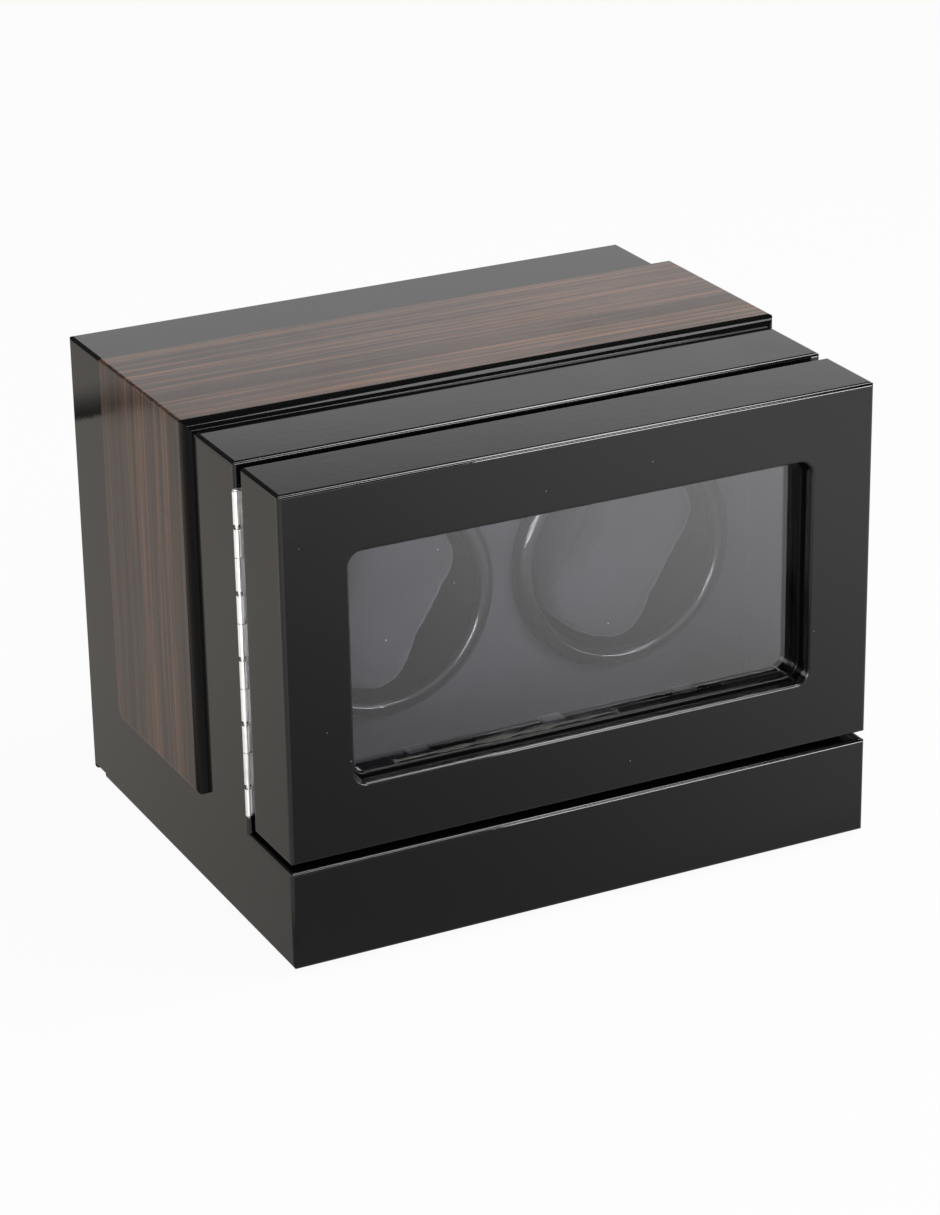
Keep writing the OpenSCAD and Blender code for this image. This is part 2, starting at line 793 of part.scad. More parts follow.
module motor(side) {
    gearbox = motor_l * 0.4;
    color("#b9bcc0") difference() {
        to_rear(side * axis_x, plate_back_d, motor_z) {
            translate([0, 0, -plate_t]) cylinder(r = motor_boss_r, h = plate_t + tiny);
            cylinder(d = motor_d, h = gearbox);
            cylinder(d = motor_d - 1.6, h = motor_l);
            cylinder(d = motor_d * 0.4, h = motor_l + 1.5);
            for (x = [-1, 1]) translate([x * motor_d * 0.32 - 1.2, -0.4, motor_l - tiny])
                cube([2.4, 0.8, 4]);
        }
        to_rear(side * axis_x, plate_d - 1, motor_z)
            cylinder(r = motor_shaft_r + running_gap, h = plate_t + gearbox);
        motor_screw_places(side, plate_back_d - tiny)
            screw_hole(small_screw, small_screw_l - plate_t + screw_gap);
    }
}

module motor_shaft(side) {
    bed = motor_l * 0.3;
    color("silver") to_rear(side * axis_x, gear_d - 1, motor_z)
        cylinder(r = motor_shaft_r, h = plate_back_d + bed - gear_d + 1);
}

// ---------------------------------------------------------------- circuit board
// The four corners of the circuit board; children's +Z points to the rear
module pcb_places(d) {
    for (x = [-1, 1], z = [-1, 1])
        to_rear(x * (pcb_w / 2 - 3.5), d, axis_z + z * (pcb_h / 2 - 3.5)) children();
}

module circuit_board() {
    color("#2e5b3a") difference() {
        union() {
            facing_board(-pcb_w / 2, pcb_w / 2, axis_z - pcb_h / 2, axis_z + pcb_h / 2,
                pcb_d, pcb_t);
            for (x = [-1, 1]) pcb_part(x * wire_socket_x, wire_socket_top, wire_socket);
            pcb_part(0, -wire_socket_foot, wire_socket);
            pcb_part(-chip[0] / 2, -2, chip);
            for (i = [0, 1]) to_rear(pcb_w / 4, pcb_d + pcb_t - tiny, axis_z + 8 * i - 4)
                cylinder(d = capacitors[i][0], h = capacitors[i][1]);
        }
        pcb_places(pcb_d + pcb_t + 1) screw_hole(small_screw, pcb_t + 2);
    }
}

// One block on the circuit board, by its middle
module pcb_part(x, z, size) {
    facing_board(x - size[0] / 2, x + size[0] / 2, axis_z + z - size[1] / 2,
        axis_z + z + size[1] / 2, pcb_d + pcb_t - tiny, size[2]);
}

module circuit_board_spacers() {
    color("#e8e4d8") pcb_places(carrier_back_d)
        tube(2.6, small_screw[0] / 2 + screw_gap, pcb_stand);
}

module circuit_board_screws() {
    color("silver") pcb_places(pcb_d + pcb_t)
        screw(small_screw, pcb_t + pcb_stand + small_screw_l - 1);
}

// ---------------------------------------------------------------- rear cover
module rear_cover() {
    color("#161617") difference() {
        facing_board(-cavity_x + fit_gap, cavity_x - fit_gap, floor_z + fit_gap,
            ceiling_z - fit_gap, cover_d, cover_t);
        cover_places(cover_back_d + tiny) screw_hole(wood_screw, cover_t + 1);
        to_rear(0, cover_d - 1, inlet_z) cylinder(r = inlet_r + screw_gap, h = cover_t + 2);
        for (side = [left, right]) to_rear(side * knob_x, cover_d - 1, control_z)
            cylinder(r = spindle_r + 1.5 + screw_gap, h = cover_t + 2);
        to_rear(0, cover_d - 1, control_z) linear_extrude(cover_t + 2)
            square([switch_w - 2 * (switch_lip - fit_gap),
                switch_h - 2 * (switch_lip - fit_gap)], center = true);
    }
}

module rear_cover_screws() {
    color("silver") cover_places(cover_back_d) screw(wood_screw, wood_screw_l);
}

module power_inlet() {
    color("#1d1d1f") to_front(0, cover_back_d + inlet_flange, inlet_z) {
        difference() {
            union() {
                cylinder(r = inlet_r + 2, h = inlet_flange);
                cylinder(r = inlet_r, h = inlet_body);
            }
            translate([0, 0, -1]) cylinder(d = inlet_bore, h = inlet_body - 1.5);
        }
        translate([0, 0, 1.5]) cylinder(r = 1, h = inlet_body - 2);
    }
}

module power_inlet_nut() {
    color("silver") to_front(0, cover_d, inlet_z) difference() {
        cylinder(r = inlet_r + 2.6, h = inlet_nut_t, $fn = 6);
        translate([0, 0, -1]) cylinder(r = inlet_r + screw_gap, h = inlet_nut_t + 2);
    }
}

// The rocker's well is open to the rear; the rocker turns on two stub pins in its walls
module power_switch() {
    body_w = switch_w - 2 * switch_lip;
    body_h = switch_h - 2 * switch_lip;
    color("#1d1d1f") to_front(0, cover_back_d + switch_flange, control_z) difference() {
        union() {
            linear_extrude(switch_flange) round_rect_mid(switch_w, switch_h, 1.5);
            linear_extrude(switch_flange + switch_body) square([body_w, body_h], center = true);
            for (x = [-4, 0, 4]) translate([x - 1, -0.4, switch_flange + switch_body - tiny])
                cube([2, 0.8, 4]);
        }
        translate([0, 0, -1]) linear_extrude(rocker_r + rocker_pivot + 1.5)
            square([body_w - 2 * switch_wall, body_h - 2 * switch_wall], center = true);
        translate([0, 0, rocker_pivot]) rotate([90, 0, 0])
            cylinder(r = trunnion_r + running_gap,
                h = 2 * (rocker_half_h + seat_gap + trunnion_l + fit_gap), center = true);
    }
}

// One half of the rocker lies flush and the other stands up at twice its slope
module power_rocker() {
    rise = rocker_r * tan(2 * rocker_slope);
    color("#8c1f1c") to_front(0, cover_back_d + switch_flange - rocker_pivot, control_z)
        rotate([90, 0, 0]) {
            intersection() {
                cylinder(r = rocker_r, h = 2 * rocker_half_h, center = true);
                linear_extrude(2 * rocker_half_h + 2, center = true) polygon([
                    [-rocker_r, -rocker_pivot], [0, -rocker_pivot],
                    [rocker_r, -rocker_pivot - rise], [rocker_r, 3], [-rocker_r, 3]]);
            }
            cylinder(r = trunnion_r, h = 2 * (rocker_half_h + seat_gap + trunnion_l),
                center = true);
        }
}

module mode_switch(side) {
    color("#3c3d40") to_front(side * knob_x, cover_d, control_z) difference() {
        union() {
            translate([-mode_body[0] / 2, -mode_body[1] / 2, 0]) cube(mode_body);
            translate([0, 0, -cover_t - 0.8]) cylinder(r = spindle_r + 1.5, h = cover_t + 1);
            for (i = [-1:1]) translate([i * tag_pitch - mode_tag[0] / 2,
                -mode_body[1] / 2 - mode_tag[1], tag_set]) cube(mode_tag + [0, tiny, 0]);
        }
        translate([0, 0, -cover_t - 2]) cylinder(r = spindle_r + running_gap, h = cover_t + mode_body[2]);
    }
}

// A fluted knob and its spindle, with a pointer groove
module mode_knob(side) {
    color("#202022") to_rear(side * knob_x, cover_back_d + knob_lift, control_z) {
        difference() {
            union() {
                cylinder(d = knob_d, h = knob_h - 1);
                cylinder(d = knob_d - 1.6, h = knob_h);
            }
            for (a = [0 : 20 : 359]) rotate(a) translate([knob_d / 2 + 0.3, 0, -1])
                cylinder(r = 0.8, h = knob_h + 2, $fn = 24);
            translate([-0.5, -knob_d / 2, knob_h - 0.6]) cube([1, knob_d * 0.4, 2]);
        }
        translate([0, 0, -knob_lift - cover_t - 5])
            cylinder(r = spindle_r, h = knob_lift + cover_t + 5 + tiny);
    }
}

// ---------------------------------------------------------------- door
// Stands a shape drawn round the window's middle on a face at depth d, seen from the front
module at_window(d) {
    translate([0, y_at(d), window_z]) rotate([90, 0, 0]) children();
}

module window_prism(grow, d, run) {
    translate([0, 0, window_z]) run_back(d, run)
        round_rect_mid(window_w + 2 * grow, window_h + 2 * grow, window_r);
}

module door_frame() {
    color("#111112") difference() {
        translate([-half_w, y_at(0), door_z]) rounded_box([case_w, door_t, door_h], edge_r);
        window_prism(0, -1, door_t);
        window_prism(rebate_w, glass_set, door_t);
        at_window(0) arris(window_w, window_h, window_r, arris_r);
        keeper_places(door_t - keeper_t) cylinder(r = keeper_r + screw_gap, h = keeper_t + 1);
        door_leaf_places(door_t) screw_hole(leaf_screw, leaf_screw_l);
        clip_places(door_t) translate([clip_hole_x, 0, 0]) screw_hole(leaf_screw, leaf_screw_l);
    }
}

module door_glass() {
    color([0.75, 0.8, 0.85, 0.35])
        window_prism(rebate_w - fit_gap, glass_set, glass_t);
}

module glazing_bead() {
    color("#0d0d0e") difference() {
        window_prism(0, glass_set - bead_run, bead_run);
        window_prism(-bead_w, glass_set - bead_run - 1, bead_run + 2);
        at_window(glass_set - bead_run)
            arris(window_w - 2 * bead_w, window_h - 2 * bead_w, window_r, bead_w * 0.6);
    }
}

module glass_retainer() {
    color("#111112") difference() {
        window_prism(rebate_w - fit_gap, retainer_d, retainer_run);
        window_prism(0, retainer_d - 1, retainer_run + 2);
    }
}

// Places of the clips at the rebate's edge; children's +X points away from the window
module clip_places(d) {
    for (x = [-0.6, 0, 0.6], z = [-1, 1])
        translate([x * window_w / 2, y_at(d), window_z + z * (window_h / 2 + rebate_w)])
            rotate([0, -z * 90, 0]) rotate([-90, 0, 0]) children();
}

// Angle clips: a plate on the door's rear face, and a leg down the rebate to the retainer
module retainer_clips() {
    drop = door_t - retainer_back_d;
    color("silver") clip_places(door_t) difference() {
        translate([-clip_slack - clip_t, -clip_w / 2, 0]) {
            cube([clip_l, clip_w, clip_t]);
            translate([0, 0, -drop]) cube([clip_t, clip_w, drop + clip_t]);
        }
        translate([clip_hole_x, 0, -1]) cylinder(d = leaf_screw[0] + 2 * screw_gap, h = 3);
    }
}

module retainer_screws() {
    color("silver") clip_places(door_t + clip_t) translate([clip_hole_x, 0, 0])
        screw(leaf_screw, leaf_screw_l);
}

// ---------------------------------------------------------------- door hinge and catch
// The height at which knuckle i starts and how long it is; even ones are on the case
function knuckle_low(i) = hinge_z + i * knuckle_pitch + (i % 2 == 0 ? knuckle_slit / 2 : 0);
function knuckle_run(i) = knuckle_pitch - knuckle_slit / 2
    - (i % 2 == 0 ? knuckle_notch : 0);

// The knuckles of one leaf, each joined to it by a tab whose face is at offset d from the pin
module leaf_knuckles(first, tab_to, tab_d) {
    for (i = [first : 2 : knuckles - 1])
        translate([-half_w, y_at(hinge_d), knuckle_low(i)]) {
            cylinder(r = knuckle_r, h = knuckle_run(i));
            translate([0, tab_d, 0]) cube([tab_to, leaf_t, knuckle_run(i)]);
        }
}

module hinge_bore() {
    translate([-half_w, y_at(hinge_d), hinge_z - 1])
        cylinder(r = hinge_pin_d / 2 + running_gap, h = hinge_l + 2);
}

module case_hinge_leaf() {
    color("gainsboro") difference() {
        union() {
            leaf_knuckles(0, leaf_start + 0.2, knuckle_r - leaf_t);
            translate([-half_w + leaf_start, y_at(shoulder_d - leaf_t), hinge_z])
                cube([leaf_w - leaf_start, leaf_t, hinge_l]);
        }
        hinge_bore();
        case_leaf_places(shoulder_d) screw_hole(leaf_screw, 1);
        case_leaf_places(shoulder_d - 1) screw_hole(leaf_screw, 1);
    }
}

// The door's leaf is cranked across the gap behind the door
module door_hinge_leaf() {
    color("gainsboro") difference() {
        union() {
            leaf_knuckles(1, crank_start + 0.2, -knuckle_r);
            translate([-half_w + crank_start, y_at(door_t), hinge_z])
                cube([leaf_t, hinge_d - knuckle_r + leaf_t - door_t, hinge_l]);
            translate([-half_w + crank_start, y_at(door_t), hinge_z])
                cube([leaf_w - crank_start, leaf_t, hinge_l]);
        }
        hinge_bore();
        door_leaf_places(door_t + 1) screw_hole(leaf_screw, 2);
    }
}

// Screws of the case's leaf; children's +Z points to the front
module case_leaf_places(d) {
    for (i = [0 : leaf_screws - 1])
        to_front(-half_w + leaf_screw_x, d, hinge_z + hinge_l * (i + 0.5) / leaf_screws)
            children();
}

// Screws of the door's leaf; children's +Z points to the rear
module door_leaf_places(d) {
    for (i = [0 : leaf_screws - 1])
        to_rear(-half_w + leaf_screw_x, d, hinge_z + hinge_l * (i + 0.5) / leaf_screws)
            children();
}

module case_hinge_screws() {
    color("silver") case_leaf_places(shoulder_d - leaf_t) screw(leaf_screw, leaf_screw_l);
}

module door_hinge_screws() {
    color("silver") door_leaf_places(door_t + leaf_t) screw(leaf_screw, leaf_screw_l);
}

module hinge_pin() {
    head = 0.4;
    color("silver") translate([-half_w, y_at(hinge_d), hinge_z]) {
        cylinder(d = hinge_pin_d, h = hinge_l + 0.1);
        translate([0, 0, hinge_l + 0.1 - tiny]) cylinder(r = knuckle_r * 0.8, h = head);
        translate([0, 0, -1.2]) cylinder(r1 = 0.2, r2 = knuckle_r * 0.8, h = 1.2 + tiny);
    }
}

module keeper_places(d) {
    for (z = [-1, 1]) to_rear(catch_x, d, window_z + z * magnet_rise) children();
}

module catch_magnets() {
    color("silver") keeper_places(door_t + seat_gap)
        cylinder(d = magnet_d, h = hinge_gap - seat_gap + magnet_bed);
}

module door_keepers() {
    color("silver") keeper_places(door_t - keeper_t) cylinder(r = keeper_r, h = keeper_t);
}

// ---------------------------------------------------------------- assembly
case_shell();
veneer_band();
band_nose();
inner_lining();
cup_panel();
side_cleats();
carrier_board();
carrier_screws();
corner_blocks();
rear_cover();
rear_cover_screws();
base_board();
feet();
foot_screws();
case_hinge_leaf();
case_hinge_screws();
hinge_pin();
catch_magnets();
circuit_board();
circuit_board_spacers();
circuit_board_screws();
power_inlet();
power_inlet_nut();
power_switch();
power_rocker();
mode_switch(left);  // left_mode_switch
mode_switch(right);  // right_mode_switch
mode_knob(left);  // left_mode_knob
mode_knob(right);  // right_mode_knob
door_frame();
door_glass();
glazing_bead();
glass_retainer();
retainer_clips();
retainer_screws();
door_hinge_leaf();
door_hinge_screws();
door_keepers();
cup_bushes();
plate_pillars();
plate_screws();
cup(left);  // left_cup
cup_rim(left);  // left_cup_rim
cup_shaft(left);  // left_cup_shaft
cup_gear(left);  // left_cup_gear
motor_plate(left);  // left_motor_plate
motor(left);  // left_motor
motor_shaft(left);  // left_motor_shaft
motor_pinion(left);  // left_motor_pinion
cushion(left);  // left_cushion
cup(right);  // right_cup
cup_rim(right);  // right_cup_rim
cup_shaft(right);  // right_cup_shaft
cup_gear(right);  // right_cup_gear
motor_plate(right);  // right_motor_plate
motor(right);  // right_motor
motor_shaft(right);  // right_motor_shaft
motor_pinion(right);  // right_motor_pinion
cushion(right);  // right_cushion
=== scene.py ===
"""Looks of the two-place watch winder box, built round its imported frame."""

import json
import logging
import math
from dataclasses import dataclass
from enum import Enum
from typing import Mapping, Sequence

import bmesh
import bpy
from mathutils import Matrix, Vector

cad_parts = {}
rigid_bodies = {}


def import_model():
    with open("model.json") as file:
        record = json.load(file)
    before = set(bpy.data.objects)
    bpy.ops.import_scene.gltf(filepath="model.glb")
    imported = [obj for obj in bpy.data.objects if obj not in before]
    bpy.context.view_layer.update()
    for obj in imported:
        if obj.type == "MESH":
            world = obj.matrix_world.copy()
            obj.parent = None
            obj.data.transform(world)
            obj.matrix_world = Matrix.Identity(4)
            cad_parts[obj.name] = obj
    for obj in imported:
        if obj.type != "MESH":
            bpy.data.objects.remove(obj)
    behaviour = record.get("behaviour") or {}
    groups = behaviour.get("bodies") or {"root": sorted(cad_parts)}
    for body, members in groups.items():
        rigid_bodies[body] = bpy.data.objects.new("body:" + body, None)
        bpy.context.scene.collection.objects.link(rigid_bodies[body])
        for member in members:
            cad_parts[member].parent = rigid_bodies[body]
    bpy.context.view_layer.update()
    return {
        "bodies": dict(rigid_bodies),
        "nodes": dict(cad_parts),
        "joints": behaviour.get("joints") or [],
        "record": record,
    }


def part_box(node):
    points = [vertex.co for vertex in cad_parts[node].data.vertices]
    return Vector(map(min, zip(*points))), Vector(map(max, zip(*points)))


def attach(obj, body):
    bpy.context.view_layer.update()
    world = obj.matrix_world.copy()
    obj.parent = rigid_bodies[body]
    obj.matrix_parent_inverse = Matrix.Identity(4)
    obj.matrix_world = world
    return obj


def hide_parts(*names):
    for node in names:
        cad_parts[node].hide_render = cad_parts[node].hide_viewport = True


LOG = logging.getLogger("watch_winder")
MM = 0.001
Colour = tuple[float, float, float]
Place = tuple[float, float, float]
Span = tuple[float, float, float, float]
Socket = bpy.types.NodeSocket
Value = Socket | float
Object = bpy.types.Object
Mesh = bpy.types.Mesh
BMesh = bmesh.types.BMesh


class Side(Enum):
    """The two sides of the box."""

    LEFT = "left"
    RIGHT = "right"


class Axis(Enum):
    """An axis that a grain or a brushed finish runs along."""

    X = 0
    Y = 1
    Z = 2


# ------------------------------------------------------------------ node trees
class Graph:
    """A node tree with short calls that add, set and wire its nodes."""

    def __init__(self, tree: bpy.types.NodeTree) -> None:
        """Wraps the tree of a material, a group or the world."""
        self.tree = tree

    def put(self, value: object, into: Socket) -> None:
        """Wires an output to an input, or sets the input to a constant.

        Args:
            value: An output, a number, a vector or a colour.
            into: The input.
        """
        if isinstance(value, bpy.types.NodeSocket):
            self.tree.links.new(value, into)
        elif into.type == "RGBA" and len(value) == 3:
            into.default_value = (*value, 1.0)
        else:
            into.default_value = value

    def add(self, kind: str, inputs: Mapping[int | str, object] | None = None,
            **settings: object) -> bpy.types.Node:
        """Adds a node.

        Args:
            kind: Type name without its ShaderNode prefix, or a group's full type name.
            inputs: What goes in its inputs, by their names or numbers.
            **settings: Attributes of the node.

        Returns:
            The new node.
        """
        node = self.tree.nodes.new(kind if kind.startswith("Node") else "ShaderNode" + kind)
        for name, setting in settings.items():
            setattr(node, name, setting)
        for name, value in (inputs or {}).items():
            self.put(value, node.inputs[name])
        return node

    def math(self, operation: str, a: Value, b: Value = 0.0, clamp: bool = False) -> Socket:
        """One Math node by Blender's name of its operation; clamp keeps it from 0 to 1."""
        return self.add("Math", {0: a, 1: b}, operation=operation, use_clamp=clamp).outputs[0]

    def plus(self, a: Value, b: Value) -> Socket:
        """The sum of two values."""
        return self.math("ADD", a, b)

    def times(self, a: Value, b: Value) -> Socket:
        """The product of two values."""
        return self.math("MULTIPLY", a, b)

    def span(self, value: Socket, low: float, high: float, to_low: float = 0.0,
             to_high: float = 1.0) -> Socket:
        """Maps the span from low to high smoothly onto the one from to_low to to_high."""
        return self.add("MapRange", {0: value, 1: low, 2: high, 3: to_low, 4: to_high},
                        interpolation_type="SMOOTHSTEP").outputs[0]

    def choose(self, pick: Value, no: Value, yes: Value) -> Socket:
        """The value no where pick is 0 and yes where it is 1."""
        return self.add("Mix", {0: pick, 2: no, 3: yes}, data_type="FLOAT").outputs[0]

    def mix(self, share: Value, a: Socket | Colour, b: Socket | Colour) -> Socket:
        """Mixes two colours; share is the share of b."""
        return self.add("Mix", {0: share, 6: a, 7: b}, data_type="RGBA").outputs[2]

    def either(self, share: Value, first: Socket, second: Socket) -> Socket:
        """Mixes two shaders; share is the share of the second."""
        return self.add("MixShader", {0: share, 1: first, 2: second}).outputs[0]

    def split(self, vector: Socket) -> Sequence[Socket]:
        """The X, Y and Z of a vector."""
        return self.add("SeparateXYZ", {0: vector}).outputs

    def combine(self, x: Value, y: Value, z: Value = 0.0) -> Socket:
        """The vector of three values."""
        return self.add("CombineXYZ", {0: x, 1: y, 2: z}).outputs[0]

    def shifted(self, vector: Socket, by: Socket) -> Socket:
        """The sum of two vectors."""
        return self.add("VectorMath", {0: vector, 1: by}, operation="ADD").outputs[0]

    def stretched(self, vector: Socket, scale: Sequence[float]) -> Socket:
        """Scales a vector along its three axes."""
        return self.add("VectorMath", {0: vector, 1: scale}, operation="MULTIPLY").outputs[0]

    def noise(self, vector: Socket, scale: Value = 1.0, detail: float = 3.0,
              roughness: float = 0.5, distortion: float = 0.0) -> Socket:
        """A noise value from about 0.2 to 0.8.

        Args:
            vector: Where it is read.
            scale: Grains for each unit of the vector.
            detail: Number of finer layers.
            roughness: Weight of the finer layers.
            distortion: Swirl of the pattern.

        Returns:
            The noise.
        """
        return self.add("TexNoise", {
            "Vector": vector, "Scale": scale, "Detail": detail, "Roughness": roughness,
            "Distortion": distortion}, noise_dimensions="3D").outputs["Fac"]

    def bump(self, height: Socket, strength: float, distance: float) -> Socket:
        """The normal of a height, where 1 stands for distance in metres."""
        return self.add("Bump", {"Strength": strength, "Distance": distance,
                                 "Height": height}).outputs["Normal"]

    def place(self) -> Socket:
        """The point in the object's own frame, in metres."""
        return self.add("TexCoord").outputs["Object"]

    def turned(self, axis: Axis) -> Socket:
        """The point with its parts in turn, so that the chosen axis comes first."""
        parts = self.split(self.place())
        return self.combine(*(parts[(axis.value + step) % 3] for step in range(3)))


class Coat(Graph):
    """A material's node tree with its Principled shader."""

    def __init__(self, name: str) -> None:
        """Makes the material and its shader.

        Args:
            name: Name of the material.
        """
        material = bpy.data.materials.new(name)
        material.use_nodes = True
        super().__init__(material.node_tree)
        self.tree.nodes.clear()
        self.shader = self.add("BsdfPrincipled")
        self.output = self.add("OutputMaterial", {"Surface": self.shader.outputs[0]})

    def set(self, **values: object) -> None:
        """Fills the shader's inputs by name, with an underscore for a space."""
        for name, value in values.items():
            self.put(value, self.shader.inputs[name.replace("_", " ")])


class GroupKind(Enum):
    """The shader node groups that finishes share."""

    SMUDGES = "smudges"
    SPECKS = "dust_specks"
    GRAIN = "wood_grain"
    BRUSHED = "brushed_lines"
    PEBBLE = "pebbled_grain"
    EDGES = "edge_mask"


class Groups:
    """Builds each shared shader node group once and places it in materials."""

    defaults: Mapping[GroupKind, Mapping[str, float]] = {
        GroupKind.SMUDGES: {"Scale": 14.0},
        GroupKind.SPECKS: {"Scale": 160.0, "Size": 0.07, "Share": 0.2},
        GroupKind.GRAIN: {"Bands": 60.0, "Streaks": 420.0},
        GroupKind.BRUSHED: {"Scale": 3000.0},
        GroupKind.PEBBLE: {"Scale": 900.0},
        GroupKind.EDGES: {"Radius": 0.4 * MM},
    }

    def __init__(self) -> None:
        """Starts with no group built."""
        self.built: dict[GroupKind, bpy.types.NodeTree] = {}

    def build(self, kind: GroupKind) -> bpy.types.NodeTree:
        """Builds one group with its named inputs and outputs.

        Args:
            kind: Which group.

        Returns:
            Its tree.
        """
        tree = bpy.data.node_groups.new(kind.value, "ShaderNodeTree")
        tree.interface.new_socket("Vector", in_out="INPUT", socket_type="NodeSocketVector")
        for name, number in self.defaults[kind].items():
            socket = tree.interface.new_socket(name, in_out="INPUT",
                                               socket_type="NodeSocketFloat")
            socket.default_value = number
        graph = Graph(tree)
        made = getattr(self, kind.value)(graph, graph.add("NodeGroupInput").outputs)
        for name in made:
            tree.interface.new_socket(name, in_out="OUTPUT", socket_type="NodeSocketFloat")
        graph.add("NodeGroupOutput", made)
        return tree

    def use(self, graph: Graph, kind: GroupKind, vector: Socket, **values: Value,
            ) -> Mapping[str, Socket]:
        """Places a group in a material.

        Args:
            graph: The material's tree.
            kind: Which group.
            vector: Where it is read.
            **values: Its other inputs, where they differ from its own.

        Returns:
            Its outputs.
        """
        if kind not in self.built:
            self.built[kind] = self.build(kind)
        return graph.add("Group", {"Vector": vector, **values},
                         node_tree=self.built[kind]).outputs

    @staticmethod
    def smudges(graph: Graph, given: Mapping[str, Socket]) -> dict[str, Socket]:
        """Broad wiped patches that dull a polished face a little.

        Args:
            graph: The group's tree.
            given: Its inputs.

        Returns:
            Its outputs.
        """
        vector, scale = given["Vector"], given["Scale"]
        wipe, wipe_scale, ripple_scale = (1.0, 1.0, 5.0), 3.0, 22.0
        broad = graph.noise(vector, scale, detail=4, roughness=0.6, distortion=0.6)
        wiped = graph.noise(graph.stretched(vector, wipe), graph.times(scale, wipe_scale),
                            roughness=0.6)
        ripple = graph.noise(vector, graph.times(scale, ripple_scale), detail=1, roughness=0.4)
        return {"Mask": graph.times(graph.span(broad, 0.42, 0.68), wiped), "Ripple": ripple}

    @staticmethod
    def dust_specks(graph: Graph, given: Mapping[str, Socket]) -> dict[str, Socket]:
        """Sparse round specks of dust.

        Args:
            graph: The group's tree.
            given: Its inputs.

        Returns:
            Its outputs.
        """
        cells = graph.add("TexVoronoi", {"Vector": given["Vector"], "Scale": given["Scale"]},
                          feature="F1").outputs
        near = graph.math("LESS_THAN", cells["Distance"], given["Size"])
        pick = graph.add("SeparateColor", {0: cells["Color"]}).outputs[0]
        return {"Mask": graph.times(near, graph.math("LESS_THAN", pick, given["Share"]))}

    @staticmethod
    def wood_grain(graph: Graph, given: Mapping[str, Socket]) -> dict[str, Socket]:
        """Long streaks across a cut; the vector is (along, across, offset) in metres.

        Args:
            graph: The group's tree.
            given: Its inputs.

        Returns:
            Its outputs.
        """
        vector = given["Vector"]
        swing, most_sway = (5.0, 9.0, 1.0), 6 * MM
        lengthwise, pore = (0.016, 1.0, 1.0), (110.0, 3200.0, 900.0)
        sway = graph.noise(graph.stretched(vector, swing), detail=2)
        sway = graph.times(graph.math("SUBTRACT", sway, 0.5), most_sway)
        swayed = graph.shifted(vector, graph.combine(0.0, sway))
        long = graph.stretched(swayed, lengthwise)
        bands = graph.noise(long, given["Bands"], roughness=0.65)
        fine = graph.noise(long, given["Streaks"], detail=4, roughness=0.7)
        dashes = graph.noise(graph.stretched(vector, pore), detail=2)
        return {"Bands": graph.span(bands, 0.3, 0.7), "Streak": graph.span(fine, 0.4, 0.72),
                "Pores": graph.span(dashes, 0.6, 0.72)}

    @staticmethod
    def brushed_lines(graph: Graph, given: Mapping[str, Socket]) -> dict[str, Socket]:
        """Fine parallel scratches along the vector's first axis.

        Args:
            graph: The group's tree.
            given: Its inputs.

        Returns:
            Its outputs.
        """
        vector = given["Vector"]
        lengthwise, patch_scale = (0.02, 1.0, 1.0), 90.0
        thin = graph.stretched(vector, lengthwise)
        return {"Lines": graph.noise(thin, given["Scale"], roughness=0.6),
                "Patches": graph.noise(vector, patch_scale, roughness=0.6)}

    @staticmethod
    def pebbled_grain(graph: Graph, given: Mapping[str, Socket]) -> dict[str, Socket]:
        """Rounded pebbles with creases between them, as on moulded plastic.

        Args:
            graph: The group's tree.
            given: Its inputs.

        Returns:
            Its outputs.
        """
        vector, scale = given["Vector"], given["Scale"]
        warp_scale, most_bend = 0.5, 0.6 * MM
        warp = graph.add("TexNoise", {
            "Vector": vector, "Scale": graph.times(scale, warp_scale)},
            noise_dimensions="3D").outputs["Color"]
        bent = graph.shifted(vector, graph.stretched(warp, [most_bend] * 3))
        crease = graph.add("TexVoronoi", {"Vector": bent, "Scale": scale},
                           feature="DISTANCE_TO_EDGE").outputs["Distance"]
        return {"Height": graph.span(crease, 0.0, 0.25)}

    @staticmethod
    def edge_mask(graph: Graph, given: Mapping[str, Socket]) -> dict[str, Socket]:
        """Where a surface bends sharply within a radius, as a worn edge would.

        Args:
            graph: The group's tree.
            given: Its inputs.

        Returns:
            Its outputs.
        """
        break_scale = 700.0
        rounded = graph.add("Bevel", {"Radius": given["Radius"]}, samples=4).outputs[0]
        flat = graph.add("NewGeometry").outputs["Normal"]
        dot = graph.add("VectorMath", {0: rounded, 1: flat}, operation="DOT_PRODUCT")
        broken = graph.noise(given["Vector"], break_scale, roughness=0.6)
        return {"Mask": graph.times(graph.span(dot.outputs["Value"], 0.985, 0.8),
                                    graph.span(broken, 0.35, 0.6))}


GROUPS = Groups()


# ------------------------------------------------------------------ finishes
@dataclass(frozen=True)
class Finish:
    """What every finish shares: the slot that it dresses, its colour and roughness."""

    slot: str
    colour: Colour
    roughness: float = 0.5

    def material(self) -> bpy.types.Material:
        """The finish's material, made when it is first asked for.

        Returns:
            The material.
        """
        name = "finish_" + self.slot
        if name not in bpy.data.materials:
            coat = Coat(name)
            coat.set(Base_Color=self.colour, Roughness=self.roughness)
            self.dress(coat)
        return bpy.data.materials[name]

    def dress(self, coat: Coat) -> None:
        """Adds the finish's own nodes."""

    @staticmethod
    def worn_edges(coat: Coat, colour: Socket | Colour, worn: Colour, radius: float) -> Socket:
        """Changes the colour along sharp edges, as far from them as the radius in metres."""
        edges = GROUPS.use(coat, GroupKind.EDGES, coat.place(), Radius=radius)
        return coat.mix(edges["Mask"], colour, worn)

    @staticmethod
    def dulled(coat: Coat, mask: Socket, share: float, roughness: Value) -> Socket:
        """The roughness, raised by share where the mask is white."""
        return coat.plus(coat.times(mask, share), roughness)


